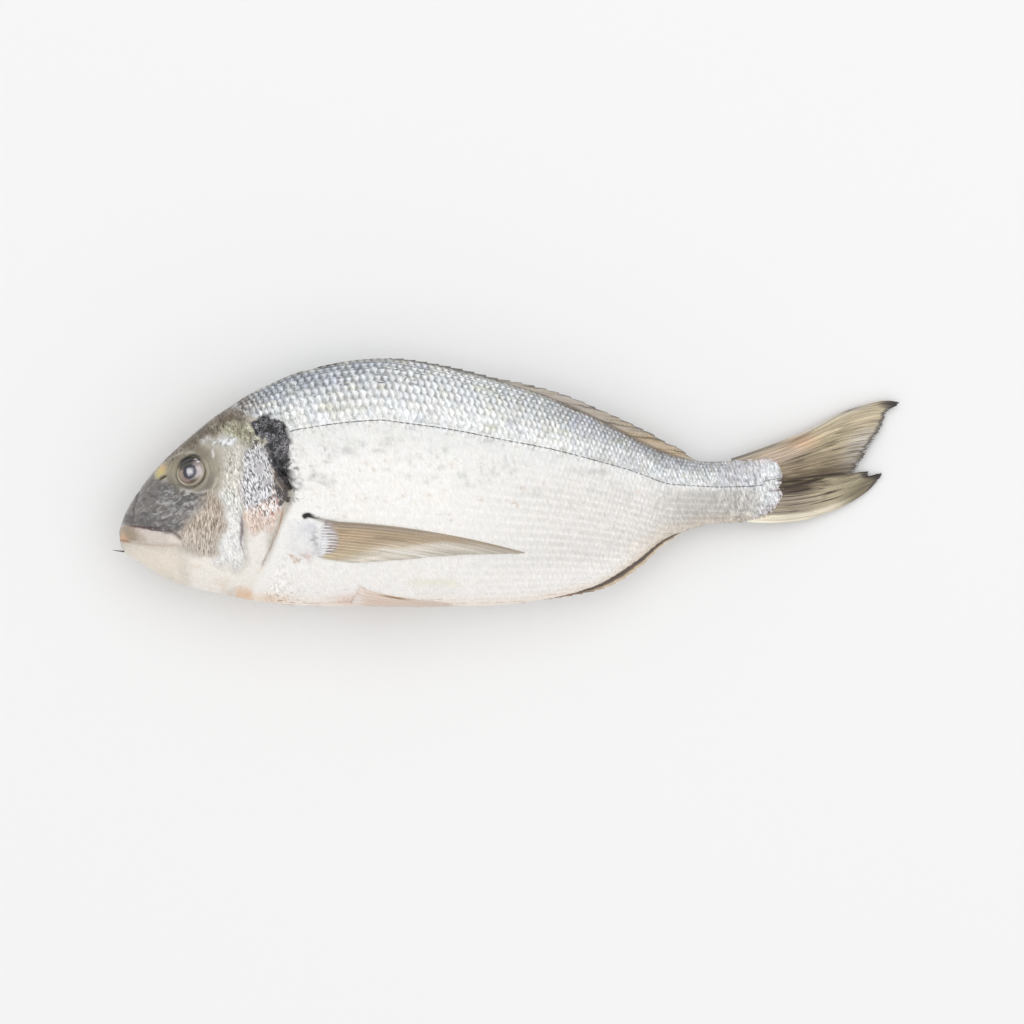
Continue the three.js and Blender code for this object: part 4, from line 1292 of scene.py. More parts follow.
# The flat map: turns run across it and stations up it, with a strip at each end for the fans.
def skinMap(rows, columns, quads):
    strip = 0.02
    i, j = np.divmod(quads[:, 0], columns)
    share = np.linspace(0, 1, columns + 1)
    u0, u1 = share[j], share[j + 1]
    v0 = strip + (1 - 2 * strip) * i / (rows - 1)
    v1 = strip + (1 - 2 * strip) * (i + 1) / (rows - 1)
    corners = np.stack([u0, v0, u1, v0, u1, v1, u0, v1], 1).reshape(-1, 2)
    half = (share[:-1] + share[1:]) / 2
    low, high = np.full(columns, strip), np.full(columns, 1 - strip)
    front = np.stack([half, low * 0, share[1:], low, share[:-1], low], 1).reshape(-1, 2)
    rear = np.stack([half, low * 0 + 1, share[:-1], high, share[1:], high], 1).reshape(-1, 2)
    return np.concatenate([corners, front, rear])


def makeSkin():
    stations = [0.0]
    at = 0.0
    while at < lastStation:
        here = along(body["stations"], at)
        ahead = along(body["stations"], min(at + 0.01, lastStation))
        speed = max(np.hypot(ahead[0] - here[0], ahead[1] - here[1]), 1e-4) / 0.01
        middle = (here[0] + here[2]) / 2
        spacing = mix(body["headStep"], body["flankStep"], float(rise(middle, body["headEnd"], 10)))
        at += min(spacing / speed, 0.2)
        stations.append(min(at, lastStation))
    stations = np.array(stations)
    upper = np.linspace(0, np.pi, body["upperPoints"], endpoint=False)
    lower = np.linspace(np.pi, 2 * np.pi, body["lowerPoints"], endpoint=False)
    angle = np.concatenate([upper, lower])
    turns = (angle + body["evenness"] * np.sin(2 * angle)) / (2 * np.pi)
    rows, columns = len(stations), len(turns)
    at, turn = np.meshgrid(stations, turns, indexing="ij")
    points = skinPoint(at, turn)
    around = np.roll(points, -1, 1) - np.roll(points, 1, 1)
    alongBody = np.gradient(points, axis=0)
    normals = np.cross(around, alongBody)
    normals /= np.maximum(np.linalg.norm(normals, axis=-1, keepdims=True), 1e-9)
    centre = points.mean(1, keepdims=True)
    if np.einsum("ijk,ijk->", points - centre, normals) < 0:
        normals = -normals
    x, y = points[..., 0], points[..., 1]
    lift = carve(x.ravel(), y.ravel()).reshape(x.shape)
    taper = smooth(at / 0.6) * smooth((lastStation - at) / 0.5)
    tint = fishTint(x.ravel(), y.ravel())
    masks = headMasks(x.ravel(), y.ravel()) * (x.ravel() < -80)[:, None]
    points = points + normals * (lift * taper)[..., None]
    points[..., 2] = np.maximum(points[..., 2], body["finBed"] * area("pectoralBed", x, y, 1.4))
    flat = points.reshape(-1, 3)
    quads, tris = closedGrid(rows, columns)
    corners = skinMap(rows, columns, quads)
    ends = np.array([flat[:columns].mean(0), flat[-columns:].mean(0)])
    flat = np.concatenate([flat, ends])
    tint = np.concatenate([tint, tint[:columns].mean(0)[None], tint[-columns:].mean(0)[None]])
    masks = np.concatenate([masks, np.zeros((2, 4))])
    flecks = headFlecks(flat[:, 0], flat[:, 1])
    quads, tris, corners = turnOutward(flat, quads, tris, corners)
    mesh = buildMesh("fish_skin", flat, quads, tris, corners)
    storeTint(mesh, tint)
    storeShades(mesh, "masks", masks)
    storeValue(mesh, "fleck", flecks)
    return addPiece("fish_skin", mesh, skinFinish)


skin = dress(makeSkin())
print("stage: skin", len(skin.data.polygons), "faces")


# scales: one leaf planted over the flanks in rows that follow the lateral line

def plantTree():
    tree, given, put = newGroup(
        "plantOnSkin", "GeometryNodeTree",
        [("Geometry", "NodeSocketGeometry"), ("Piece", "NodeSocketObject"),
         ("Material", "NodeSocketMaterial"), ("Size spread", "NodeSocketFloat"),
         ("Turn spread", "NodeSocketFloat"), ("Seed", "NodeSocketInt")],
        [("Geometry", "NodeSocketGeometry")],
    )
    facing = addNode(
        tree, "FunctionNodeAxesToRotation",
        {"Primary Axis": storedVector(tree, "outward"), "Secondary Axis": storedVector(tree, "rearward")},
        primary_axis="Z", secondary_axis="X",
    )
    highest = given.outputs["Turn spread"]
    lowest = calc(tree, "MULTIPLY", highest, -1.0)
    swing = addNode(tree, "ShaderNodeCombineXYZ")
    for axis in range(3):
        seed = calc(tree, "ADD", given.outputs["Seed"], float(axis))
        tree.links.new(randomBetween(tree, lowest, highest, seed), swing.inputs[axis])
    swing = addNode(tree, "FunctionNodeEulerToRotation", {"Euler": swing.outputs[0]})
    facing = addNode(
        tree, "FunctionNodeRotateRotation",
        {"Rotation": facing.outputs[0], "Rotate By": swing.outputs[0]}, rotation_space="LOCAL",
    )
    small = calc(tree, "SUBTRACT", 1.0, given.outputs["Size spread"])
    large = calc(tree, "ADD", 1.0, given.outputs["Size spread"])
    growth = randomBetween(tree, small, large, given.outputs["Seed"])
    size = scaleBy(tree, storedVector(tree, "reach"), growth)
    source = addNode(tree, "GeometryNodeObjectInfo", {"Object": given.outputs["Piece"]})
    planted = addNode(
        tree, "GeometryNodeInstanceOnPoints",
        {"Points": given.outputs["Geometry"], "Instance": source.outputs["Geometry"],
         "Rotation": facing.outputs[0], "Scale": size},
    )
    real = addNode(tree, "GeometryNodeRealizeInstances", {"Geometry": planted.outputs[0]})
    dressed = addNode(
        tree, "GeometryNodeSetMaterial", {"Geometry": real.outputs[0], "Material": given.outputs["Material"]}
    )
    tree.links.new(dressed.outputs[0], put.inputs["Geometry"])
    return tree


plantOnSkin = plantTree()


def pointCloud(name, points, vectors, values):
    mesh = bpy.data.meshes.new(name)
    mesh.vertices.add(len(points))
    mesh.vertices.foreach_set("co", (points * metre).ravel())
    for label, data in vectors.items():
        storeValue(mesh, label, data, "FLOAT_VECTOR")
    for label, data in values.items():
        storeValue(mesh, label, data)
    return addPiece(name, mesh)


scaleLeaf = {
    "across": 4,
    "steps": [0.0, 0.45, 0.75, 1.0],
    "outline": [0.74, 1.0, 0.94, 0.52],
    "frontDrop": -0.06,
    "rearRise": 0.17,
    "dome": 0.04,
    "rearBow": 0.13,
    "thickness": 0.24,
}


def makeLeaf():
    s = scaleLeaf
    u, v = np.meshgrid(np.linspace(-1, 1, s["across"] + 1), np.array(s["steps"]))
    outline = np.array(s["outline"])[:, None]
    x = v - 0.42 - s["rearBow"] * u ** 2 * v
    y = u * 0.5 * outline
    z = mix(s["frontDrop"], s["rearRise"], v) + s["dome"] * (1 - u ** 2)
    top = np.stack([x, y, z], -1).reshape(-1, 3)
    topQuads, rim = openGrid(np.arange(len(top)).reshape(u.shape))
    foot = top[rim] - [0, 0, s["thickness"]]
    centre = foot.mean(0)
    points = np.concatenate([top, foot, centre[None]])
    ring = np.arange(len(rim))
    after = (ring + 1) % len(rim)
    under = len(top)
    wall = np.stack([rim[after], rim[ring], under + ring, under + after], 1)
    fan = np.stack([np.full(len(rim), under + len(rim)), under + after, under + ring], 1)
    flat = np.stack([0.06 + 0.56 * v.ravel(), 0.5 + 0.44 * u.ravel()], 1)
    outer = np.stack([0.34 + (flat[rim, 0] - 0.34) * 1.13, 0.5 + (flat[rim, 1] - 0.5) * 1.09], 1)
    below = np.stack([0.83 + (flat[rim, 0] - 0.34) * 0.42, flat[rim, 1]], 1)
    hub = np.array([0.83, 0.5])
    quads = np.concatenate([topQuads, wall])
    corners = [flat[topQuads].reshape(-1, 2)]
    corners.append(np.stack([flat[rim[after]], flat[rim[ring]], outer[ring], outer[after]], 1).reshape(-1, 2))
    hubs = np.broadcast_to(hub, (len(rim), 2))
    corners.append(np.stack([hubs, below[after], below[ring]], 1).reshape(-1, 2))
    quads, fan, corners = turnOutward(points, quads, fan, np.concatenate(corners))
    mesh = buildMesh("scaleLeaf", points, quads, fan, corners)
    onRim = set(rim.tolist())
    for edge in mesh.edges:
        a, b = edge.vertices
        edge.use_edge_sharp = {a, b} <= onRim or (a >= under and b >= under)
    storeValue(mesh, "leafU", np.concatenate([u.ravel(), u.ravel()[rim], [0.0]]))
    storeValue(mesh, "leafV", np.concatenate([v.ravel(), v.ravel()[rim], [0.5]]))
    return addPiece("scaleLeaf", mesh)


flankScales = {
    "from": -113.0,
    "to": 106.4,
    "columnPitch": 2.8,
    "tailColumnPitch": 1.25,
    "rowPitch": 3.6,
    "tailRowPitch": 1.65,
    "lowRowPitch": 2.3,
    "shrinkFrom": -62.0,
    "shrinkOver": 150.0,
    "napeShare": 0.5,
    "napeOver": 38.0,
    "baseShare": 0.75,
    "baseRowShare": 0.5,
    "baseFrom": 84.0,
    "baseOver": 10.0,
    "baseLowRowShare": 0.72,
    "rowsBelow": 44,
    "rowsAbove": 28,
    "edgePoints": 260,
    "clearOfHead": 0.6,
    "clearOfJaw": 5.5,
    "relief": 0.78,
    "lowRelief": 0.4,
    "contrast": 0.15,
    "ridgeContrast": 0.24,
    "bellyFleck": 0.035,
    "backFleck": 0.14,
    "baseFleck": 0.24,
    "overlap": 1.75,
    "widthOverlap": 1.5,
    "backLean": 0.5,
    "sizeSpread": 0.05,
    "turnSpread": 0.03,
    "seeds": [12, 11],
}


def scalePitch(x):
    f = flankScales
    small = rise(x, f["shrinkFrom"], f["shrinkOver"])
    ends = mix(f["napeShare"], 1.0, rise(x, f["from"], f["napeOver"]))
    base = rise(x, f["baseFrom"], f["baseOver"])
    column = ends * mix(1.0, f["baseShare"], base) * mix(f["columnPitch"], f["tailColumnPitch"], small)
    high = ends * mix(f["rowPitch"], f["tailRowPitch"], small)
    low = ends * mix(f["rowPitch"], f["lowRowPitch"], small)
    high = high * mix(1.0, f["baseRowShare"], base)
    low = low * mix(1.0, f["baseLowRowShare"] * f["baseRowShare"], base)
    return column, high, low


def scaleLattice(side):
    f = flankScales
    xs = [f["from"]]
    while xs[-1] < f["to"]:
        xs.append(xs[-1] + float(scalePitch(xs[-1])[0]) / 2)
    xs = np.array(xs)
    rows = np.arange(-f["rowsBelow"], f["rowsAbove"])
    table = np.full((len(xs), len(rows)), np.nan)
    for k, x in enumerate(xs):
        ys = np.linspace(bellyY(x) + 0.1, backY(x) - 0.1, f["edgePoints"])
        points, _ = skinAt(np.full(f["edgePoints"], x), ys, side)
        arc = np.concatenate([[0], np.cumsum(np.hypot(np.diff(points[:, 1]), np.diff(points[:, 2])))])
        start = np.interp(rowY(x), ys, arc)
        _, high, low = scalePitch(x)
        wanted = start + rows * np.where(rows > 0, float(high), float(low))
        table[k] = np.where((wanted > 0) & (wanted < arc[-1]), np.interp(wanted, arc, ys), np.nan)
    k, r = np.nonzero(np.isfinite(table) & ((np.arange(len(xs))[:, None] + rows[None, :]) % 2 == 0))
    x, y = xs[k], table[k, r]
    ahead = table[np.minimum(k + 1, len(xs) - 1), r]
    behind = table[np.maximum(k - 1, 0), r]
    slope = np.where(np.isfinite(ahead) & np.isfinite(behind), (ahead - behind), 0.0)
    slope = slope / (xs[np.minimum(k + 1, len(xs) - 1)] - xs[np.maximum(k - 1, 0)])
    up = np.clip((y - rowY(x)) / np.maximum(backY(x) - rowY(x), 1), 0, 1)
    lean = f["backLean"] * smooth(0.35 + up * 1.3) * (up > 0) * (1 - 0.5 * rise(x, -20, 90))
    lean = lean + np.arctan(slope)
    point, normal = skinAt(x, y, side)
    rear = np.stack([np.cos(lean), np.sin(lean), np.zeros(len(x))], 1)
    rear -= normal * np.einsum("ij,ij->i", rear, normal)[:, None]
    rear /= np.linalg.norm(rear, axis=1, keepdims=True)
    clear = mix(f["clearOfHead"], f["clearOfJaw"], fall(y, -3, 6))
    keep = behindHead(x, y) > clear + 0.8 * (hashed(k, r, 0, 71) - 0.5)
    keep &= area("blotch", *wander(x, y, 1.3, 2.0, 73), 1.0) < 0.25
    keep &= area("lobe", x, y, 2.0) < 0.5
    keep &= mark("axil", 2.0, x, y) < 0.35
    tailward = area("tailBase", *wander(x, y, 1.2, 1.8, 72), 4.0)
    keep &= (x < 80) | (tailward > 0.04 + 0.9 * hashed(k, r, 1, 72))
    keep &= (point[:, 2] > 0.7) | (side > 0)
    keep &= (point[:, 2] > 1.2) | (normal[:, 2] > -0.9)
    column, high, low = scalePitch(x)
    height = np.where(rows[r] > 0, high, low)
    relief = mix(f["lowRelief"], f["relief"], smooth(up * 5)) * mix(0.6, 1.0, height / f["rowPitch"])
    relief = relief * mix(1.0, 0.18, rise(x, 84, 10))
    relief = relief * mix(0.3, 1.0, np.maximum(rise(x, -86, 14), rise(y, -36, 8)))
    shrunk = np.where(x > 92, mix(0.55, 1.0, rise(tailward, 0.3, 0.6)), 1.0)
    reach = np.stack([column * f["overlap"] * shrunk, height * f["widthOverlap"] * shrunk, relief], 1)
    return point[keep], normal[keep], rear[keep], reach[keep], rows[r][keep]


# One cell of the map for each leaf, so that a flat copy of every leaf lies side by side.
def spreadCells(mesh, number):
    count = int(number.max()) + 1
    wide = math.ceil(math.sqrt(count))
    corner = np.zeros(len(mesh.loops), np.int64)
    mesh.loops.foreach_get("vertex_index", corner)
    cell = np.rint(number[corner]).astype(int)
    layer = mesh.uv_layers["OFBake"]
    flat = np.zeros(len(mesh.loops) * 2)
    layer.uv.foreach_get("vector", flat)
    flat = flat.reshape(-1, 2)
    flat[:, 0] = (cell % wide + flat[:, 0]) / wide
    flat[:, 1] = (cell // wide + flat[:, 1]) / wide
    layer.uv.foreach_set("vector", flat.ravel())


def dropValues(mesh, names):
    for name in names:
        if name in mesh.attributes:
            mesh.attributes.remove(mesh.attributes[name])


def plantScales(name, side, leaf):
    f = flankScales
    point, normal, rear, reach, row = scaleLattice(side)
    number = np.arange(len(point))
    cloudOf = pointCloud(
        name, point, {"outward": normal, "rearward": rear, "reach": reach}, {"number": number, "row": row}
    )
    piece = grow(cloudOf, plantOnSkin, {
        "Piece": leaf, "Material": scaleFinish, "Size spread": f["sizeSpread"],
        "Turn spread": f["turnSpread"], "Seed": f["seeds"][side > 0],
    })
    mesh = piece.data
    number = np.rint(readValue(mesh, "number")).astype(np.int64)
    u, v, row = readValue(mesh, "leafU"), readValue(mesh, "leafV"), readValue(mesh, "row")
    place = readPoints(mesh)
    place[:, 2] = np.maximum(place[:, 2], 0.02)
    mesh.vertices.foreach_set("co", (place * metre).ravel())
    chance = [hashed(number, number * 0, number * 0, 80 + k) for k in range(4)]
    middle = point[number]
    x, y = middle[:, 0], middle[:, 1]
    tint = fishTint(place[:, 0], place[:, 1])
    top, foot, line = backY(x), bellyY(x), rowY(x)
    up = np.clip((y - line) / np.maximum(top - line, 1), -1, 1)
    above = smooth(up * 6 + 0.5)
    rearward = rise(x, 10, 60)
    # Painted highlight and shade on each scale: lighter towards its rear edge, darker just behind the edge of
    # the scale in front and along its sides, strongest above the lateral line and towards the back.
    contrast = mix(0.0, f["contrast"], above) + f["ridgeContrast"] * smooth(up * 1.35 - 0.1) * above
    contrast = contrast * mix(1.0, 0.6, rise(x, 30, 40)) * mix(1.0, 0.3, rise(x, 72, 20))
    contrast = contrast + 0.03 * (1 - above) * rise(x, -25, 50) * fall(x, 95, 15)
    open_ = (v - 0.43) / 0.57
    bright = bell(u, 1.0) * rise(open_, 0.1, 0.5) * (1 - 0.5 * rise(open_, 0.8, 0.2))
    strength = contrast * (0.7 + 0.6 * chance[0])
    tint = tint * (1 + strength * (bright * 1.4 - 0.62))[:, None]
    _, high, low = scalePitch(x)
    phase = (place[:, 1] - y) / np.where(row > 0, high, low) + row
    patchy = 0.45 + 0.55 * smooth(0.6 + fuzz(x / 9, y / 5, 134) * 1.6)
    shade = mix(0.015, 0.07, rise(x, -25, 55)) * (1 - above) * fall(x, 90, 14) * (0.4 + 1.2 * chance[1])
    shade = shade * patchy
    shade = shade * smooth(1.5 - np.abs((line - y) / np.maximum(line - foot, 1) - 0.55) * 3)
    dim = 0.5 - 0.5 * np.cos(2 * np.pi * phase)
    tint = tint * (1 + shade[:, None] * (0.35 - dim[:, None] * np.array([0.92, 1.0, 1.1])))
    hue = (chance[1] - 0.5)[:, None] * np.array([-4.0, 0.0, 5.0]) * mix(0.3, 1.0, above)[:, None]
    hue = hue + (chance[2] - 0.5)[:, None] * np.array([4.0, 2.0, -4.0]) * mix(0.25, 0.7, above)[:, None]
    spread = np.maximum(mix(3, 18, above), 10 * rearward)
    spread = mix(spread, 26, rise(x, 80, 12))
    tint = tint + hue + ((chance[3] - 0.5) * spread)[:, None]
    storeTint(mesh, np.clip(tint, 8, 253))
    fleck = mix(f["bellyFleck"], f["backFleck"], above) + 0.06 * smooth(up * 3) * rearward + 0.05 * rearward
    fleck = mix(fleck, f["baseFleck"], rise(x, 74, 14)) + 0.16 * fall(x, -78, 20)
    storeValue(mesh, "fleck", fleck)
    spreadCells(mesh, readValue(mesh, "number"))
    dropValues(mesh, ["number", "row", "leafU", "leafV", "outward", "rearward", "reach"])
    dress(piece)
    print("stage:", name, len(point), "scales,", len(mesh.loops) - 2 * len(mesh.polygons), "triangles")


leaf = makeLeaf()
sides = {"left": 1, "right": -1}
for sideName, side in sides.items():
    plantScales("flank_scales_" + sideName, side, leaf)
bpy.data.objects.remove(leaf)


# the lateral line: a small dark tube on every scale along it

lateralTubes = {
    "from": -83.0,
    "to": 102.0,
    "seed": 21,
    "rings": 6,
    "sides": 8,
    "pitch": 2.3,
    "tailPitch": 1.7,
    "length": 2.35,
    "width": 0.36,
    "height": 0.34,
    "lift": 0.27,
    "turnSpread": 0.08,
    "sizeSpread": 0.2,
    "tint": (118, 114, 112),
}


# Angles of a ball's points without its two poles: from the first pole, and round the axis.
def ballAngles(rings, around):
    fromPole = np.linspace(0, np.pi, rings + 1)[1:-1]
    return np.meshgrid(fromPole, np.arange(around) / around * 2 * np.pi, indexing="ij")


def ballMesh(name, rings, around):
    a, b = ballAngles(rings, around)
    points = np.stack([-np.cos(a), np.sin(a) * np.cos(b), np.sin(a) * np.sin(b)], -1).reshape(-1, 3) * 0.5
    points = np.concatenate([points, [[-0.5, 0, 0], [0.5, 0, 0]]])
    quads, tris = closedGrid(rings - 1, around)
    quads, tris, _ = turnOutward(points, quads, tris)
    return buildMesh(name, points, quads, tris)


def plantTubes(name, side, bead):
    t = lateralTubes
    xs = [t["from"]]
    while xs[-1] < t["to"]:
        xs.append(xs[-1] + mix(t["pitch"], t["tailPitch"], float(rise(xs[-1], 30, 60))))
    x = np.array(xs)
    y = lateralY(x)
    slope = lateralY(x + 0.5) - lateralY(x - 0.5)
    point, normal = skinAt(x, y, side, t["lift"] + 0 * x)
    rear = np.stack([np.ones(len(x)), slope, np.zeros(len(x))], 1)
    rear -= normal * np.einsum("ij,ij->i", rear, normal)[:, None]
    small = mix(1.0, 0.75, rise(x, 20, 70))
    reach = np.stack([t["length"] * small, t["width"] * small, t["height"] + 0 * x], 1)
    cloudOf = pointCloud(name, point, {"outward": normal, "rearward": rear, "reach": reach}, {})
    piece = grow(cloudOf, plantOnSkin, {
        "Piece": bead, "Material": scaleFinish, "Size spread": t["sizeSpread"],
        "Turn spread": t["turnSpread"], "Seed": t["seed"],
    })
    mesh = piece.data
    storeTint(mesh, np.broadcast_to(np.array(t["tint"], float), (len(mesh.vertices), 3)))
    dropValues(mesh, ["outward", "rearward", "reach"])
    dress(piece)


bead = addPiece("bead", ballMesh("bead", lateralTubes["rings"], lateralTubes["sides"]))
for sideName, side in sides.items():
    plantTubes("lateral_line_" + sideName, side, bead)
bpy.data.objects.remove(bead)
print("stage: scales and lateral line")


# fins: thin webs, with rays swept along curves

tintLimits = (12, 250)


def sweepTree():
    tree, given, put = newGroup(
        "sweepRays", "GeometryNodeTree",
        [("Geometry", "NodeSocketGeometry"), ("Sides", "NodeSocketInt"), ("Thickness", "NodeSocketFloat"),
         ("Material", "NodeSocketMaterial")],
        [("Geometry", "NodeSocketGeometry")],
    )
    girth = addNode(tree, "GeometryNodeInputNamedAttribute", {"Name": "girth"}, data_type="FLOAT")
    size = calc(tree, "MULTIPLY", girth.outputs["Attribute"], given.outputs["Thickness"])
    curve = addNode(tree, "GeometryNodeMeshToCurve", {"Mesh": given.outputs["Geometry"]})
    ring = addNode(
        tree, "GeometryNodeCurvePrimitiveCircle", {"Resolution": given.outputs["Sides"], "Radius": 1.0}
    )
    tube = addNode(
        tree, "GeometryNodeCurveToMesh",
        {"Curve": curve.outputs[0], "Profile Curve": ring.outputs[0], "Scale": size, "Fill Caps": True},
    )
    soft = addNode(tree, "GeometryNodeSetShadeSmooth", {"Geometry": tube.outputs[0]})
    real = addNode(tree, "GeometryNodeRealizeInstances", {"Geometry": soft.outputs[0]})
    dressed = addNode(
        tree, "GeometryNodeSetMaterial", {"Geometry": real.outputs[0], "Material": given.outputs["Material"]}
    )
    tree.links.new(dressed.outputs[0], put.inputs["Geometry"])
    return tree


sweepRays = sweepTree()


# Tubes along lists of points; girth is the radius at each point, and extra values are kept by name.
def sweep(name, paths, girths, values, material, sides=6, thickness=1.0):
    points = np.concatenate(paths)
    edges = []
    start = 0
    for path in paths:
        edges += [(start + k, start + k + 1) for k in range(len(path) - 1)]
        start += len(path)
    mesh = bpy.data.meshes.new(name)
    mesh.from_pydata((points * metre).tolist(), edges, [])
    storeValue(mesh, "girth", np.concatenate(girths) * metre)
    for label, data in values.items():
        storeValue(mesh, label, np.concatenate(data))
    piece = addPiece(name, mesh)
    return grow(piece, sweepRays, {"Sides": sides, "Thickness": thickness, "Material": material})


# A closed web between two grids of points, with a flat copy of both faces side by side.
def webMesh(name, top, foot):
    rows, columns = top.shape[:2]
    points = np.concatenate([top.reshape(-1, 3), foot.reshape(-1, 3)])
    under = rows * columns
    face, rim = openGrid(np.arange(under).reshape(rows, columns))
    back = under + face[:, ::-1]
    after = np.roll(rim, -1)
    wall = np.stack([after, rim, under + rim, under + after], 1)
    grid = np.stack(unitGrid(rows, columns), -1).reshape(-1, 2)
    flatTop = np.stack([0.02 + 0.45 * grid[:, 0], 0.03 + 0.94 * grid[:, 1]], 1)
    flatFoot = np.stack([0.53 + 0.45 * grid[:, 0], 0.03 + 0.94 * grid[:, 1]], 1)
    outer = np.stack([0.245 + (flatTop[:, 0] - 0.245) * 1.06, 0.5 + (flatTop[:, 1] - 0.5) * 1.04], 1)
    corners = np.concatenate([
        flatTop[face].reshape(-1, 2),
        flatFoot[face[:, ::-1]].reshape(-1, 2),
        np.stack([flatTop[after], flatTop[rim], outer[rim], outer[after]], 1).reshape(-1, 2),
    ])
    quads, _, corners = turnOutward(points, np.concatenate([face, back, wall]), None, corners)
    return buildMesh(name, points, quads, None, corners)


# A web with the same tint on both faces.
def makeWeb(name, top, foot, tint):
    mesh = webMesh(name, top, foot)
    storeTint(mesh, np.concatenate([tint, tint]))
    dress(addPiece(name, mesh, finFinish))


# Rays swept along paths, with the tint of the web beside them times a gain.
def makeRays(name, paths, girths, steps, places, tintAt, gain):
    piece = sweep(name, paths, girths, {"step": steps, "place": places}, finFinish)
    mesh = piece.data
    where = readPoints(mesh)
    tint = tintAt(readValue(mesh, "step"), readValue(mesh, "place"), where[:, 0], where[:, 1])
    storeTint(mesh, np.clip(tint * gain, *tintLimits))
    dropValues(mesh, ["step", "place", "girth"])
    dress(piece)


tail = {
    "upper": {
        "roots": [[85, 8.8], [100, 0.6]],
        "pulls": [[136, 33.4], [117, 1.4]],
        "edge": [
            [84, 8.4], [87.8, 9.6], [94.4, 11.9], [101, 14.3], [108.9, 17.4], [117.5, 21.5], [127.4, 26.9],
            [134, 29.4], [142, 31.4], [146.6, 31.7], [150.6, 31],
        ],
        "tipEnd": 0,
        "uneven": 0.9,
        "ends": [[150.6, 31], [145.2, 26.6], [143.4, 21.2], [140.2, 15.6], [136.4, 9.8], [132.6, 3.4]],
        "drop": 0.0,
        "seed": 3,
        "rays": 11,
    },
    "lower": {
        "roots": [[99, 3], [91, -14.6]],
        "pulls": [[116, 2.4], [120, -17.4]],
        "ends": [[131, 3.4], [138, 4.4], [138.4, 2.6], [143.4, 3.8], [141.6, 0.6], [138.4, -2.8]],
        "tipEnd": 3,
        "uneven": 0.0,
        "drop": 1.1,
        "seed": 11,
        "rays": 10,
    },
    "rows": 64,
    "columns": 240,
    "heights": [[8.9], [6.6], [4.4], [3.0], [2.4]],
    "rootThickness": 1.5,
    "edgeThickness": 0.34,
    "rayGirth": 0.62,
    "rayGain": 1.04,
    "length": 52.0,
    "from": 91.0,
    "reach": 59.0,
    "ragged": 1.9,
}


tailTints = {
    "upper": (204, 190, 163), "lower": (187, 176, 150), "upperPale": (208, 203, 196),
    "upperGrey": (186, 180, 174), "fold": (76, 64, 52), "tip": (60, 53, 50),
    "upperOlive": (174, 164, 132), "upperRose": (204, 182, 166), "upperRoot": (170, 156, 132),
    "upperRootEdge": (112, 102, 92), "upperBrown": (128, 112, 88), "upperOrange": (206, 160, 128),
    "upperFair": (222, 208, 172), "upperHair": (94, 80, 61), "lowerRoot": (152, 138, 126),
    "lowerDark": (66, 52, 40), "lowerFair": (196, 182, 146), "lowerHair": (64, 52, 40),
    "lowerTip": (112, 104, 84), "lowerYellow": (186, 172, 136), "lowerEdge": (238, 228, 206),
    "thread": (84, 72, 56), "margin": (240, 231, 210), "crease": (46, 36, 28), "rim": (92, 86, 82),
}
tailCreases = [
    [[102.5, -0.2], [113.9, 1.8], [123.7, 3.1], [131, 3.6]],
    [[103, -2.2], [110, -0.9], [117, 0.9], [121, 1.6]],
    [[104, -4.4], [111, -3.2], [116.5, -2]],
]


def fanPoint(shape, t, across):
    root = mix(np.array(shape["roots"][0], float), np.array(shape["roots"][1], float), across[..., None])
    pull = mix(np.array(shape["pulls"][0], float), np.array(shape["pulls"][1], float), across[..., None])
    end = along(shape["ends"], across * (len(shape["ends"]) - 1))
    t = t[..., None]
    flat = (1 - t) ** 2 * root + 2 * t * (1 - t) * pull + t * t * end
    if "edge" in shape:
        first = [np.array(shape[name][0], float) for name in ("roots", "pulls", "ends")]
        rim = (1 - t) ** 2 * first[0] + 2 * t * (1 - t) * first[1] + t * t * first[2]
        edge = traced(shape["edge"])
        shift = np.interp(rim[..., 0], edge[:, 0], edge[:, 1]) - rim[..., 1]
        flat[..., 1] += shift * (1 - across) ** 2
    return flat


# How far each part of a worn fin reaches along its rays.
def worn(across, rays, seed, ragged, length):
    comb = np.abs(np.mod(across * rays * 2, 1) - 0.5) * 2
    zero = across * 0
    torn = 0.55 + 0.6 * cloud(across * rays * 0.9, zero, seed)
    torn = torn + 0.5 * cloud(across * rays * 3, zero, seed + 1)
    return 1 - ragged * np.clip(torn, 0, 2) * (0.45 + 0.55 * comb) / length


def tailHeight(shape, x, across):
    share = np.clip((x - tail["from"]) / tail["reach"], 0, 1)
    wave = 0.5 * np.sin(across * 7 + shape["seed"]) * share
    drop = shape["drop"] * rise(share * 4, 0.7, 1.1)
    return along(tail["heights"], share * (len(tail["heights"]) - 1))[..., 0] - drop + wave


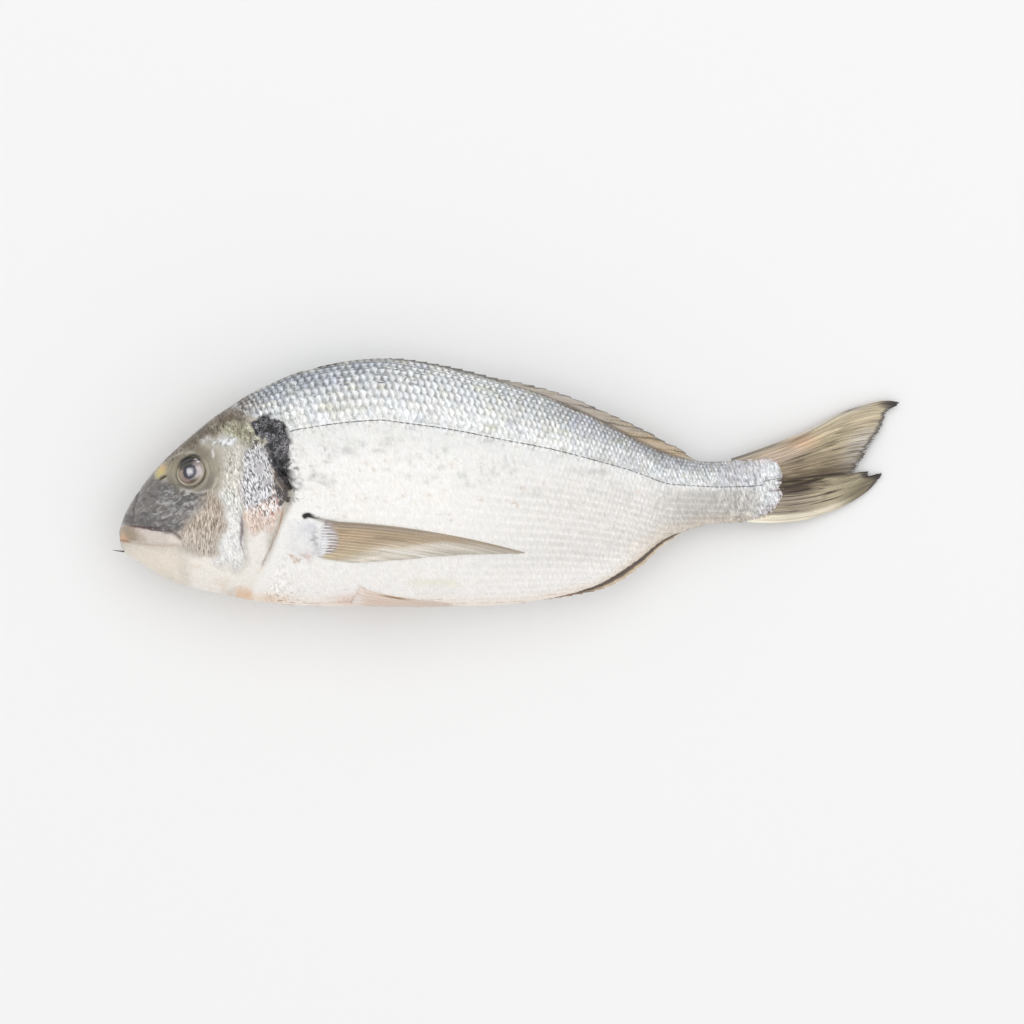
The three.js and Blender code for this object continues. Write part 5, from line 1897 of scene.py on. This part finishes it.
def tailTint(part, t, across, x, y):
    c = tailTints
    shape = tail[part]
    lengthwise = fuzz(across * 46, t * 2.6, 101 + shape["seed"])
    broad = fuzz(across * 7, t * 3, 102 + shape["seed"])
    hair = patches(across * 88, t * 3.4, 105 + shape["seed"], 3.0, -0.4, 2)
    fair = patches(across * 74, t * 4.2, 107 + shape["seed"], 3.0, -0.4, 2)
    thread = smooth(1 - np.abs(fuzz(across * 40, t * 2.4, 109 + shape["seed"], 2)) * 5)
    thread = thread * smooth(0.5 + 1.6 * broad) * rise(t, 0.1, 0.2)
    tint = ground(c[part], x)
    lay = brushFor(tint, c)
    if part == "upper":
        lay("upperOlive", smooth(broad * 1.4 + 0.15) * 0.7)
        lay("upperRose", smooth((118 - x + 8 * broad) / 12) * smooth(across * 5) * 0.75)
        lay("upperRoot", fall(x, 100, 8) * 0.6)
        lay("upperGrey", rise(t, 0.62, 0.22) * rise(across, 0.3, 0.25) * 0.85)
        lay("upperPale", fall(across, 0.12, 0.1) * fall(t, 0.8, 0.15) * 0.8)
        fold = smooth((across - 0.78 + 0.05 * broad) / 0.12) * rise(x, 98, 6)
        lay("fold", fold * mix(1.0, 0.5, rise(x, 118, 14)))
        rootEdge = fall(across, 0.07, 0.05) * fall(x, 110, 10)
        lay("upperRootEdge", rootEdge * 0.8)
        lay("upperBrown", rise(across, 0.42, 0.3) * fall(x, 136, 14) * 0.6)
        lay("upperOrange", 0.5 * dab(x, y, 112, 16, 7, 3))
        lay("upperFair", fair * 0.4)
        lay("upperHair", hair * (0.52 + 0.38 * rise(across, 0.35, 0.4)))
    else:
        lay("lowerRoot", fall(x, 124, 14) * 0.8)
        dark = smooth((0.5 - across + 0.08 * broad) / 0.22) * smooth((124 - x + 14 * hair) / 14)
        lay("lowerDark", dark * 0.95)
        lay("lowerFair", fair * 0.4)
        lay("lowerHair", hair * 0.9)
        lay("lowerTip", rise(t, 0.62, 0.2) * rise(across, 0.45, 0.2) * 0.6)
        lay("lowerYellow", smooth(broad * 1.5) * 0.4)
        lay("lowerEdge", rise(across, 0.82, 0.08) * fall(x, 134, 14) * 0.9)
    margin = rise(across, 0.8, 0.08) * fall(x, 136, 14) if part == "lower" else 0 * x
    lay("thread", thread * 0.5 * (1 - margin))
    lay("margin", margin * 0.45)
    for k, crease in enumerate(tailCreases):
        lay("crease", stroke(crease, 0.55 - 0.12 * k, x, y, 0.3) * 0.85)
    rim = smooth((t - 0.93 + 0.03 * hair) / 0.05)
    lay("rim", rim * 0.85)
    tipX, tipY = shape["ends"][shape["tipEnd"]]
    tip = np.hypot((x - tipX) / 8.5, (y - tipY) / 3.0)
    lay("tip", smooth(1.35 - tip + 0.3 * lengthwise))
    tint = tint * (1 + 0.2 * lengthwise + 0.05 * broad)[..., None]
    return np.clip(tint, *tintLimits)


# Rays that split towards their ends: each path is given as steps along the ray and places across.
def branching(rays, splits=(0.46, 0.74)):
    found = []
    for k in range(rays + 1):
        middle = k / rays
        gap = 1.0 / rays
        found.append((0.0, splits[0] + 0.01, middle, middle, 1.0))
        for a in (-0.25, 0.25):
            if not 0 <= middle + a * gap <= 1:
                continue
            found.append((splits[0], splits[1] + 0.01, middle, middle + a * gap, 0.72))
            for b in (-0.125, 0.125):
                where = middle + (a + b) * gap
                if 0 <= where <= 1:
                    found.append((splits[1], 1.0, middle + a * gap, where, 0.5))
    return found


def makeTail(part):
    shape = tail[part]
    t, across = unitGrid(tail["rows"], tail["columns"])
    ragged = tail["ragged"] * (1 + shape["uneven"] * rise(across, 0.4, 0.2))
    reach = worn(across, shape["rays"] * 2, shape["seed"], ragged, tail["length"])
    flat = fanPoint(shape, t * reach, across)
    x, y = flat[..., 0], flat[..., 1]
    middle = tailHeight(shape, x, across)
    share = np.clip((x - tail["from"]) / tail["reach"], 0, 1)
    ridge = 0.07 * np.cos(across * shape["rays"] * 4 * np.pi) * smooth(t * 4)
    thick = mix(tail["rootThickness"], tail["edgeThickness"], smooth(share * 1.8)) / 2
    thick = thick * mix(0.45, 1.0, fromEdges(across, 0.03)) + ridge
    top = np.stack([x, y, middle + thick], -1)
    foot = np.stack([x, y, middle - thick], -1)
    tint = tailTint(part, t.ravel(), across.ravel(), x.ravel(), y.ravel())
    makeWeb("tail_" + part + "_web", top, foot, tint)
    paths, girths, steps, places = [], [], [], []
    for begin, stop, fromAcross, toAcross, weight in branching(shape["rays"]):
        s = np.linspace(begin, stop, max(4, int((stop - begin) * 26)))
        a = np.clip(mix(fromAcross, toAcross, smooth((s - begin) / 0.16)), 0, 1)
        tipReach = worn(a, shape["rays"] * 2, shape["seed"], tail["ragged"], tail["length"])
        tipReach = tipReach + 0.012 * hashed(np.int64(toAcross * 977) + s.astype(np.int64) * 0, 1, 2, 7)
        flatRay = fanPoint(shape, np.minimum(s * tipReach, 1.0), a)
        z = tailHeight(shape, flatRay[:, 0], a)
        paths.append(np.column_stack([flatRay, z]))
        girths.append(tail["rayGirth"] * weight * mix(1.0, 0.42, s) * mix(0.6, 1, fall(s, 1.0, 0.05)))
        steps.append(s)
        places.append(a)
    tintAt = lambda *place: tailTint(part, *place)
    makeRays("tail_" + part + "_rays", paths, girths, steps, places, tintAt, tail["rayGain"])


for part in ("upper", "lower"):
    makeTail(part)
print("stage: tail")


# dorsal and anal fins, folded back along the edges of the body

edgeFins = {
    "dorsal": {
        "edge": 1, "from": -50.0, "to": 71.5, "spines": 11, "rays": 16, "notch": 0.55, "sweepBack": 12.0,
        "heights": [
            [-50, 0.2], [-44, 0.8], [-20, 1], [-4, 1.2], [2, 2.2], [10, 2.9], [19, 3.6], [32, 4.1],
            [42, 4.8], [51, 5.3], [57, 4.4], [64, 3.7], [68.5, 1.6], [71.5, 0.2],
        ],
    },
    "anal": {
        "edge": -1, "from": 12.0, "to": 66.0, "spines": 3, "rays": 11, "notch": 0.4, "sweepBack": 7.0,
        "heights": [
            [12, 0.2], [18.8, 0.6], [25, 1.2], [31, 2], [37, 2.9], [43, 3.2], [49.5, 2.7], [53, 2.3],
            [57, 1.9], [62, 1.4], [66, 0.2],
        ],
    },
    "rootThickness": 1.5,
    "edgeThickness": 0.35,
    "depth": 2.2,
    "rayGain": 1.06,
    "levels": [-1.0, -0.3] + [k / 14 for k in range(15)],
}


edgeFinTints = {
    "dorsal": (184, 175, 164), "anal": (132, 116, 100), "analPale": (214, 196, 170),
    "dorsalTan": (202, 178, 142), "dorsalMauve": (192, 188, 190), "dorsalFront": (118, 116, 114),
    "dorsalPale": (212, 190, 158), "dorsalStreak": (80, 70, 60), "dorsalRoot": (74, 66, 62),
    "dorsalRim": (92, 88, 88), "analRust": (176, 140, 118), "analBand": (92, 82, 76),
    "analStreak": (96, 82, 70),
}


def finHeight(fin, share):
    rows = np.array(fin["heights"], float)
    height = np.interp(mix(fin["from"], fin["to"], share), rows[:, 0], rows[:, 1])
    step = np.mod(share * (fin["spines"] + fin["rays"]), 1)
    return np.maximum(height - fin["notch"] * (1 - step) * smooth(height / 1.5), 0.2)


def edgeFrame(fin, x):
    turn = 0.0 if fin["edge"] > 0 else 0.5
    stations = np.interp(x, (backEdge if fin["edge"] > 0 else bellyEdge)[:, 0], edgeTurns)
    turns = np.full(x.shape, turn)
    root = skinPoint(stations, turns)
    run = skinPoint(np.minimum(stations + 0.05, lastStation), turns) - skinPoint(stations - 0.05, turns)
    run[..., 2] = 0
    run /= np.linalg.norm(run, axis=-1, keepdims=True)
    out = np.stack([-run[..., 1], run[..., 0], 0 * x], -1) * fin["edge"]
    return root, out


def edgeFinTint(name, level, x):
    c = edgeFinTints
    ray = x - 1.1 * edgeFins[name]["sweepBack"] * np.clip(level, 0, 1)
    streak = fuzz(ray / 1.3, level * 1.2, 121, 2)
    broad = fuzz(ray / 6.0, level, 122)
    tint = ground(c[name], x)
    lay = brushFor(tint, c)
    if name == "dorsal":
        lay("dorsalTan", rise(x, 34, 14) * smooth(0.6 + broad) * 0.8)
        lay("dorsalMauve", rise(x, 12, 8) * fall(x, 32, 8) * rise(level, 0.5, 0.3) * 0.7)
        lay("dorsalFront", fall(x, 2, 10) * 0.85)
        lay("dorsalPale", smooth(-streak * 2.4 - 0.3) * rise(x, 8, 10) * 0.7)
        lay("dorsalStreak", smooth(streak * 3.0 - 0.4) * 0.8)
        lay("dorsalRoot", smooth(0.55 - np.abs(level - 0.1) * 3) * 0.8)
        lay("dorsalRim", smooth((level - 0.88 + 0.1 * streak) / 0.1) * 0.85)
    else:
        lay("analRust", fall(x, 30, 12) * 0.8)
        lay("analBand", smooth(1.1 - np.abs(level - 0.28) * 3) * rise(x, 20, 10) * 0.95)
        lay("analPale", smooth((level - 0.55 + 0.1 * broad) / 0.2) * rise(x, 24, 14))
        lay("analStreak", smooth(streak * 2.2 - 0.3) * 0.4)
    return np.clip(tint * (1 + 0.2 * streak)[..., None], *tintLimits)


def makeEdgeFin(name):
    fin = edgeFins[name]
    count = fin["spines"] + fin["rays"]
    share, level = np.meshgrid(np.linspace(0, 1, count * 8 + 1), np.array(edgeFins["levels"]), indexing="ij")
    x = mix(fin["from"], fin["to"], share)
    root, out = edgeFrame(fin, x)
    height = finHeight(fin, np.minimum(share, 0.9995)) * mix(0.5, 1.0, fromEdges(share, 0.02))
    reach = np.where(level < 0, level * edgeFins["depth"], level * height)
    thick = mix(edgeFins["rootThickness"], edgeFins["edgeThickness"], np.clip(level, 0, 1)) / 2
    middle = root + out * reach[..., None]
    lean = 0.35 * np.sin(share * 9) * np.clip(level, 0, 1)
    top = middle + np.stack([0 * x, 0 * x, thick + lean], -1)
    foot = middle + np.stack([0 * x, 0 * x, lean - thick], -1)
    makeWeb(name + "_fin_web", top, foot, edgeFinTint(name, level.ravel(), x.ravel()))
    paths, girths, levels, shares = [], [], [], []
    for k in range(count):
        tipShare = (k + 0.93) / count
        s = np.linspace(0, 1, 9)
        tipX = mix(fin["from"], fin["to"], tipShare)
        height = float(finHeight(fin, np.array(tipShare)))
        back = min(fin["sweepBack"] * min(1.0, height / 3.0) + 1.0, tipX - fin["from"] + 2.0)
        xs = tipX - back * (1 - s)
        root, out = edgeFrame(fin, np.maximum(xs, fin["from"] - 2))
        outward = mix(-0.8, height * 0.97, s ** 0.8)
        path = root + out * outward[:, None]
        path[:, 2] += 0.35 * np.sin(tipShare * 9) * s
        paths.append(path)
        thick = 0.72 if k < fin["spines"] else 0.46
        girths.append(thick * mix(1.0, 0.25, s))
        levels.append(s)
        shares.append(np.full(9, tipShare))
    tintAt = lambda level, share, x, y: edgeFinTint(name, level, x)
    makeRays(name + "_fin_rays", paths, girths, levels, shares, tintAt, edgeFins["rayGain"])


for name in ("dorsal", "anal"):
    makeEdgeFin(name)
print("stage: dorsal and anal fins")


# fins that lie on the flanks

flankFins = {
    "pectoral": {
        "roots": [[-70.4, -14.9], [-73.4, -28.2]],
        "pulls": [[-34, -15.8], [-66, -30]],
        "ends": [[6.4, -27], [-9, -27.2], [-24, -27.8], [-40, -29.2], [-61, -30.6]],
        "rays": 13,
        "rows": 90,
        "columns": 84,
        "lift": 1.35,
        "edgeLift": 0.55,
        "sink": 0.5,
        "girth": 0.5,
        "seed": 5,
        "ragged": 1.0,
        "length": 70.0,
        "rayGain": 1.03,
        "bedThickness": 0.6,
    },
    "pelvic": {
        "roots": [[-57.5, -40], [-61.5, -46.2]],
        "pulls": [[-50, -43.8], [-52, -47.3]],
        "ends": [[-30, -45.2], [-22, -46.8], [-30, -47.2], [-38, -47.3]],
        "rays": 6,
        "rows": 44,
        "columns": 30,
        "lift": 1.3,
        "edgeLift": 0.5,
        "sink": 0.5,
        "girth": 0.42,
        "seed": 8,
        "ragged": 0.6,
        "length": 38.0,
        "rayGain": 1.03,
        "bedThickness": 0.4,
    },
}


flankFinTints = {
    "pectoral": (192, 172, 146), "pectoralEdge": (150, 138, 124), "pectoralTan": (206, 180, 148),
    "pectoralPale": (214, 202, 172), "pelvic": (226, 210, 198), "pectoralMiddle": (204, 188, 162),
    "pectoralRear": (220, 212, 198), "pectoralClear": (232, 226, 216), "pectoralRay": (122, 104, 86),
    "pectoralTip": (222, 214, 202), "pectoralEnd": (196, 188, 176), "pectoralMauve": (178, 168, 170),
    "pectoralRoot": (226, 226, 228), "pectoralFoot": (214, 196, 168), "pectoralGlint": (240, 238, 232),
    "pelvicRoot": (236, 226, 218), "pelvicBrown": (150, 116, 84), "pelvicRay": (206, 176, 160),
}


def flankFinTint(name, t, across, x, y):
    c = flankFinTints
    streak = fuzz(across * 30, t * 2.2, 131)
    broad = fuzz(across * 5, t * 4, 132)
    tint = ground(c[name], x)
    lay = brushFor(tint, c)
    if name == "pectoral":
        lay("pectoralTan", fall(t, 0.35, 0.25) * rise(across, 0.2, 0.3) * 0.9)
        lay("pectoralPale", rise(across, 0.62, 0.3) * 0.85)
        lay("pectoralMiddle", rise(across, 0.3, 0.3) * 0.6)
        lay("pectoralRear", rise(t, 0.4, 0.2) * rise(across, 0.25, 0.3) * 0.8)
        # Painted shade along the upper edge of the fin, weaker further out along the rays.
        lay("pectoralEdge", fall(across, 0.16, 0.1) * 0.85 * mix(1.0, 0.3, rise(t, 0.4, 0.3)))
        lay("pectoralClear", rise(t, 0.6, 0.15) * rise(across, 0.1, 0.12) * 0.9)
        lay("pectoralRay", smooth(streak * 2.6 - 0.35) * mix(0.3, 0.6, fall(across, 0.6, 0.3)))
        lay("pectoralTip", rise(t, 0.66, 0.2) * rise(across, 0.02, 0.05) * 0.7)
        lay("pectoralEnd", rise(t, 0.8, 0.16) * 0.55)
        rx, ry = wander(x, y, 0.5, 1.0, 134)
        # Painted shadow: a mauve-grey band on the web under the comb of ray heads, in the gaps between them.
        mauve = smooth((-67.8 + 3.0 * bell(ry + 22, 5) - rx) / 1.2) * rise(ry, -27.6, 1.5)
        lay("pectoralMauve", mauve * 0.8)
        lay("pectoralRoot", smooth((-71.0 + 2.2 * bell(ry + 22, 5) - rx) / 1.2))
        lay("pectoralFoot", fall(ry, -27.4, 1.2) * fall(rx, -66, 4) * 0.8)
        lay("pectoralGlint", stroke([[-50.6, -25.1], [-40, -26.6], [-30, -28.7]], 0.35, x, y) * 0.9)
        tint = tint * (1 + 0.15 * streak + 0.05 * broad)[..., None]
    else:
        lay("pelvicRoot", fall(x, -54, 5))
        lay("pelvicBrown", fall(across, 0.12, 0.08) * bell((x + 44.5) / 4.5, 1.0) * 0.9)
        lay("pelvicRay", smooth(streak * 2 - 0.1) * 0.5)
        tint = tint * (1 + 0.06 * streak)[..., None]
    return np.clip(tint, *tintLimits)


def makeFlankFin(name, sideName):
    fin = flankFins[name]
    side = sides[sideName]
    t, across = unitGrid(fin["rows"], fin["columns"])
    reach = worn(across, fin["rays"], fin["seed"], fin["ragged"], fin["length"])
    flat = fanPoint(fin, t * reach, across)
    x, y = flat[..., 0].ravel(), flat[..., 1].ravel()
    y = np.maximum(y, bellyY(x) + 0.1)
    lift = mix(fin["lift"], fin["edgeLift"], smooth(t * 1.3)).ravel()
    lift *= mix(0.35, 1.0, fromEdges(across.ravel(), 0.06))
    lift = lift + 0.07 * np.cos(across * fin["rays"] * 2 * np.pi).ravel() + 0.12 * fuzz(x / 6, y / 3, 133)
    top, _ = skinAt(x, y, side, lift)
    foot, _ = skinAt(x, y, side, lift * 0 - fin["sink"])
    if side < 0:
        top[:, 2] = np.maximum(top[:, 2], 0.06)
        foot[:, 2] = np.maximum(foot[:, 2], top[:, 2] + fin["bedThickness"])
    shape = t.shape + (3,)
    pieceName = name + "_" + sideName
    tint = flankFinTint(name, t.ravel(), across.ravel(), x, y)
    makeWeb(pieceName + "_web", top.reshape(shape), foot.reshape(shape), tint)
    paths, girths, steps, places = [], [], [], []
    for begin, stop, fromAcross, toAcross, weight in branching(fin["rays"], (0.5, 0.99)):
        if weight < 0.6:
            continue
        s = np.linspace(begin, min(stop, 1.0), max(5, int((stop - begin) * 30)))
        a = np.clip(mix(fromAcross, toAcross, smooth((s - begin) / 0.2)), 0, 1)
        a = mix(0.02, 0.98, a)
        tipReach = worn(a, fin["rays"], fin["seed"], fin["ragged"], fin["length"])
        flatRay = fanPoint(fin, s * tipReach, a)
        rx, ry = flatRay[:, 0], np.maximum(flatRay[:, 1], bellyY(flatRay[:, 0]) + 0.35)
        level = mix(fin["lift"], fin["edgeLift"], smooth(s * 1.3)) * mix(0.35, 1.0, fromEdges(a, 0.06))
        level = level - 0.5 * (1 - rise(s, 0.03, 0.07))
        level = level + 0.12 * fuzz(rx / 6, ry / 3, 133)
        path, _ = skinAt(rx, ry, side, level)
        path[:, 2] = np.maximum(path[:, 2], 0.5)
        paths.append(path)
        girths.append(fin["girth"] * weight * mix(0.9, 0.4, s))
        steps.append(s)
        places.append(a)
    tintAt = lambda *place: flankFinTint(name, *place)
    makeRays(pieceName + "_rays", paths, girths, steps, places, tintAt, fin["rayGain"])


for name in ("pectoral", "pelvic"):
    for sideName in sides:
        makeFlankFin(name, sideName)
print("stage: paired fins")


# the fleshy root of the pectoral fin ends in a comb of ray heads

comb = {
    "count": 10,
    "fromY": -16.8,
    "toY": -26.4,
    "rootX": -72.0,
    "length": 4.0,
    "bow": 3.6,
    "girth": 0.32,
    "tint": (240, 240, 242),
    "tipTint": (178, 164, 154),
}


def makeComb(sideName):
    side = sides[sideName]
    paths, girths, shares = [], [], []
    for k in range(comb["count"]):
        share = k / (comb["count"] - 1)
        s = np.linspace(0, 1, 8)
        bow = comb["bow"] * (1 - (2 * share - 1) ** 2)
        uneven = 1.2 * (float(hashed(k, 3, 5, 151)) - 0.5)
        x = mix(comb["rootX"] + uneven * 0.5, comb["rootX"] + comb["length"] + bow + uneven, s)
        y = mix(comb["fromY"], comb["toY"], share) + 0.5 * (0.5 - share) * (1 - s)
        y = y + 0.35 * uneven * np.sin(s * 3)
        path, _ = skinAt(x, y, side, mix(1.5, 1.45, s) - 0.5 * rise(s, 0.8, 0.2))
        path[:, 2] = np.maximum(path[:, 2], comb["girth"] + 0.05)
        paths.append(path)
        girths.append(comb["girth"] * mix(1.0, 0.55, s))
        shares.append(s)
    piece = sweep("pectoral_comb_" + sideName, paths, girths, {"step": shares}, finFinish)
    step = readValue(piece.data, "step")
    storeTint(piece.data, paint(ground(comb["tint"], step), comb["tipTint"], rise(step, 0.6, 0.4)))
    dropValues(piece.data, ["step", "girth"])
    dress(piece)


for sideName in sides:
    makeComb(sideName)


# eyes

eyeTints = {
    "iris": (136, 126, 114), "olive": (62, 58, 48), "lid": (22, 21, 18), "right": (198, 188, 190),
    "mauve": (148, 134, 136), "tan": (164, 144, 128), "brown": (82, 66, 58), "rose": (150, 128, 126),
    "ring": (48, 50, 62), "lens": (216, 212, 216), "pale": (222, 216, 190), "dark": (104, 92, 78),
    "edge": (128, 118, 98), "sheen": (206, 198, 194), "glint": (238, 232, 234), "glow": (178, 192, 184),
}


irisSpots = [  # colour, place from the middle, width, height, strength, turn
    ("tan", -3.9, -0.9, 1.5, 2.4, 0.9, 0.0),
    ("right", 3.5, -0.4, 1.7, 2.3, 1.0, 0.0),
    ("mauve", 2.2, 3.3, 1.7, 1.5, 0.9, 0.0),
    ("olive", -1.9, 2.8, 3.4, 2.0, 0.97, 0.3),
    ("rose", -1.4, -3.8, 2.2, 0.9, 0.9, 0.0),
    ("brown", 1.0, -4.3, 1.8, 0.7, 0.8, 0.35),
    ("sheen", 1.7, -2.6, 1.7, 0.55, 0.85, 0.5),
    ("glint", 2.1, 4.7, 0.55, 0.4, 1.0, 0.0),
    ("glint", 3.2, 3.5, 0.5, 0.5, 1.0, 0.0),
]


def eyeTint(u, v, front):
    c = eyeTints
    r = np.hypot(u, v)
    around = np.arctan2(v, u)
    mottle = fuzz(u / 0.8, v / 0.8, 141)
    su, sv = wander(u, v, 0.45, 1.1, 142)
    tint = ground(c["iris"], u)
    lay = brushFor(tint, c)
    for name, x, y, wide, tall, share, turn in irisSpots:
        du, dv = su - x, sv - y
        across = (du * math.cos(turn) + dv * math.sin(turn)) / wide
        upright = (dv * math.cos(turn) - du * math.sin(turn)) / tall
        lay(name, smooth(1.6 - 1.1 * np.hypot(across, upright)) * share)
    tint *= (1 + 0.1 * mottle)[:, None]
    middle = np.hypot(su - 0.3, (sv + 0.5) / 1.1)
    lay("ring", fall(middle, 3.1, 1.1) * 0.92)
    # A cloudy grey lens in the pupil with a painted highlight at its middle, and glow, a small soft painted
    # highlight near it.
    lay("lens", smooth((2.0 - np.hypot(su - 0.5, (sv + 0.6) / 1.02) + 0.4 * mottle) / 1.4))
    lay("glow", bell(np.hypot(u - 0.9, v - 0.3) / 0.5, 1.0) * 0.7)
    rim = r + 0.15 * mottle
    lay("dark", bell(rim - 4.75, 0.28) * smooth(0.2 - np.cos(around - 0.9)) * 0.8)
    paleShare = smooth(1.3 - np.sin(around) * 1.6) * mix(0.4, 0.95, smooth(0.25 - np.cos(around + 0.3)))
    lay("pale", bell(rim - 5.3, 0.32) * paleShare)
    lid = smooth((sv - 2.95 - 0.26 * su) / 0.7)
    lay("lid", lid * smooth(1.1 - smooth(1.3 - np.hypot((u - 2.2) / 1.2, (v - 4.6) / 0.6))))
    lay("edge", rise(r, 5.55, 0.3) * 0.8)
    lay("edge", 1 - smooth(front * 4))
    return tint


def makeEye(name, side, node):
    rows, columns = eye["rows"], eye["columns"]
    tilt, spin = ballAngles(rows, columns)
    u, v = np.sin(tilt) * np.cos(spin), np.sin(tilt) * np.sin(spin)
    w = np.cos(tilt)
    place = np.array([eye["x"]]), np.array([eye["y"]])
    centre, out = skinAt(*place, side, np.array([-eye["sunk"]]))
    centre, out = centre[0], out[0]
    right = np.array([1.0, 0, 0]) - out * out[0]
    right /= np.linalg.norm(right)
    up = np.cross(out, right)
    up = up if up[1] > 0 else -up
    pupilBulge = eye["bulge"] * fall(eye["radius"] * np.hypot(u, v), 3.6, 1.4) * (w > 0)
    local = (u * eye["radius"])[..., None] * right + (v * eye["radius"])[..., None] * up
    local = local + (w * eye["depth"] + pupilBulge)[..., None] * out
    points = (centre + local).reshape(-1, 3)
    poles = np.array([centre + out * (eye["depth"] + eye["bulge"]), centre - out * eye["depth"]])
    points = np.concatenate([points, poles])
    quads, tris = closedGrid(rows - 1, columns)
    quads, tris, _ = turnOutward(points - centre, quads, tris)
    mesh = buildMesh(name, points, quads, tris)
    fu = np.concatenate([(u * eye["radius"]).ravel(), [0, 0]])
    fv = np.concatenate([(v * eye["radius"]).ravel(), [0, 0]])
    storeTint(mesh, eyeTint(fu, fv, np.concatenate([w.ravel(), [1, -1]])))
    dress(addPiece(name, mesh, eyeFinish), node)


makeEye("eye_left", 1, "left_eye")
makeEye("eye_right", -1, "right_eye")
print("stage: eyes")


# a stiff dark hair of skin stands out of the lower lip

barb = {
    "path": [[-146.6, -26.2, 21.0], [-148.6, -26.4, 21.6], [-150.6, -26.2, 21.8], [-152.6, -25.9, 21.6]],
    "girth": [0.32, 0.3, 0.2, 0.08],
    "grey": 78.0,
}
barbPiece = sweep("lip_barb", [np.array(barb["path"])], [np.array(barb["girth"])], {}, finFinish)
storeTint(barbPiece.data, np.full((len(barbPiece.data.vertices), 3), barb["grey"]))
dropValues(barbPiece.data, ["girth"])
dress(barbPiece)


# stage

look = {
    "floorTint": (246, 246, 246),
    "centre": (0.4, -11.3),
    "lens": 200.0,
    "height": 2202.0,
    "worldStrength": 0.77,
    "softLight": 13.0,
    "softSize": 3.0,
    "softPlace": (0.2, 0.45, 1.7),
    "floorHalf": 6.0,
}
floorMesh = bpy.data.meshes.new("floor")
half = look["floorHalf"]
floorCorners = [(-half, -half, 0), (half, -half, 0), (half, half, 0), (-half, half, 0)]
floorMesh.from_pydata(floorCorners, [], [(0, 1, 2, 3)])
floorFinish = bpy.data.materials.new("floorPaper")
floorFinish.use_nodes = True
floorShader = floorFinish.node_tree.nodes["Principled BSDF"]
floorShader.inputs["Base Color"].default_value = (*lightValues(np.array(look["floorTint"], float)), 1)
floorShader.inputs["Roughness"].default_value = 0.9
floorShader.inputs["Specular IOR Level"].default_value = 0.1
floor = addPiece("floor", floorMesh, floorFinish)

scene = bpy.context.scene
world = bpy.data.worlds.new("softWorld")
world.use_nodes = True
world.node_tree.nodes["Background"].inputs["Color"].default_value = (1, 1, 1, 1)
world.node_tree.nodes["Background"].inputs["Strength"].default_value = look["worldStrength"]
scene.world = world
lamp = bpy.data.lights.new("softbox", "AREA")
lamp.shape = "DISK"
lamp.size = look["softSize"]
lamp.energy = look["softLight"]
lampObject = bpy.data.objects.new("softbox", lamp)
lampObject.location = look["softPlace"]
lampObject.rotation_mode = "QUATERNION"
scene.collection.objects.link(lampObject)
toFish = -lampObject.location
lampObject.rotation_quaternion = toFish.to_track_quat("-Z", "Y")

cameraData = bpy.data.cameras.new("camera")
cameraData.lens = look["lens"]
cameraData.sensor_width = 36.0
camera = bpy.data.objects.new("camera", cameraData)
camera.location = (look["centre"][0] * metre, look["centre"][1] * metre, look["height"] * metre)
scene.collection.objects.link(camera)
scene.camera = camera
scene.view_settings.view_transform = "Standard"
print("stage: camera and light set")
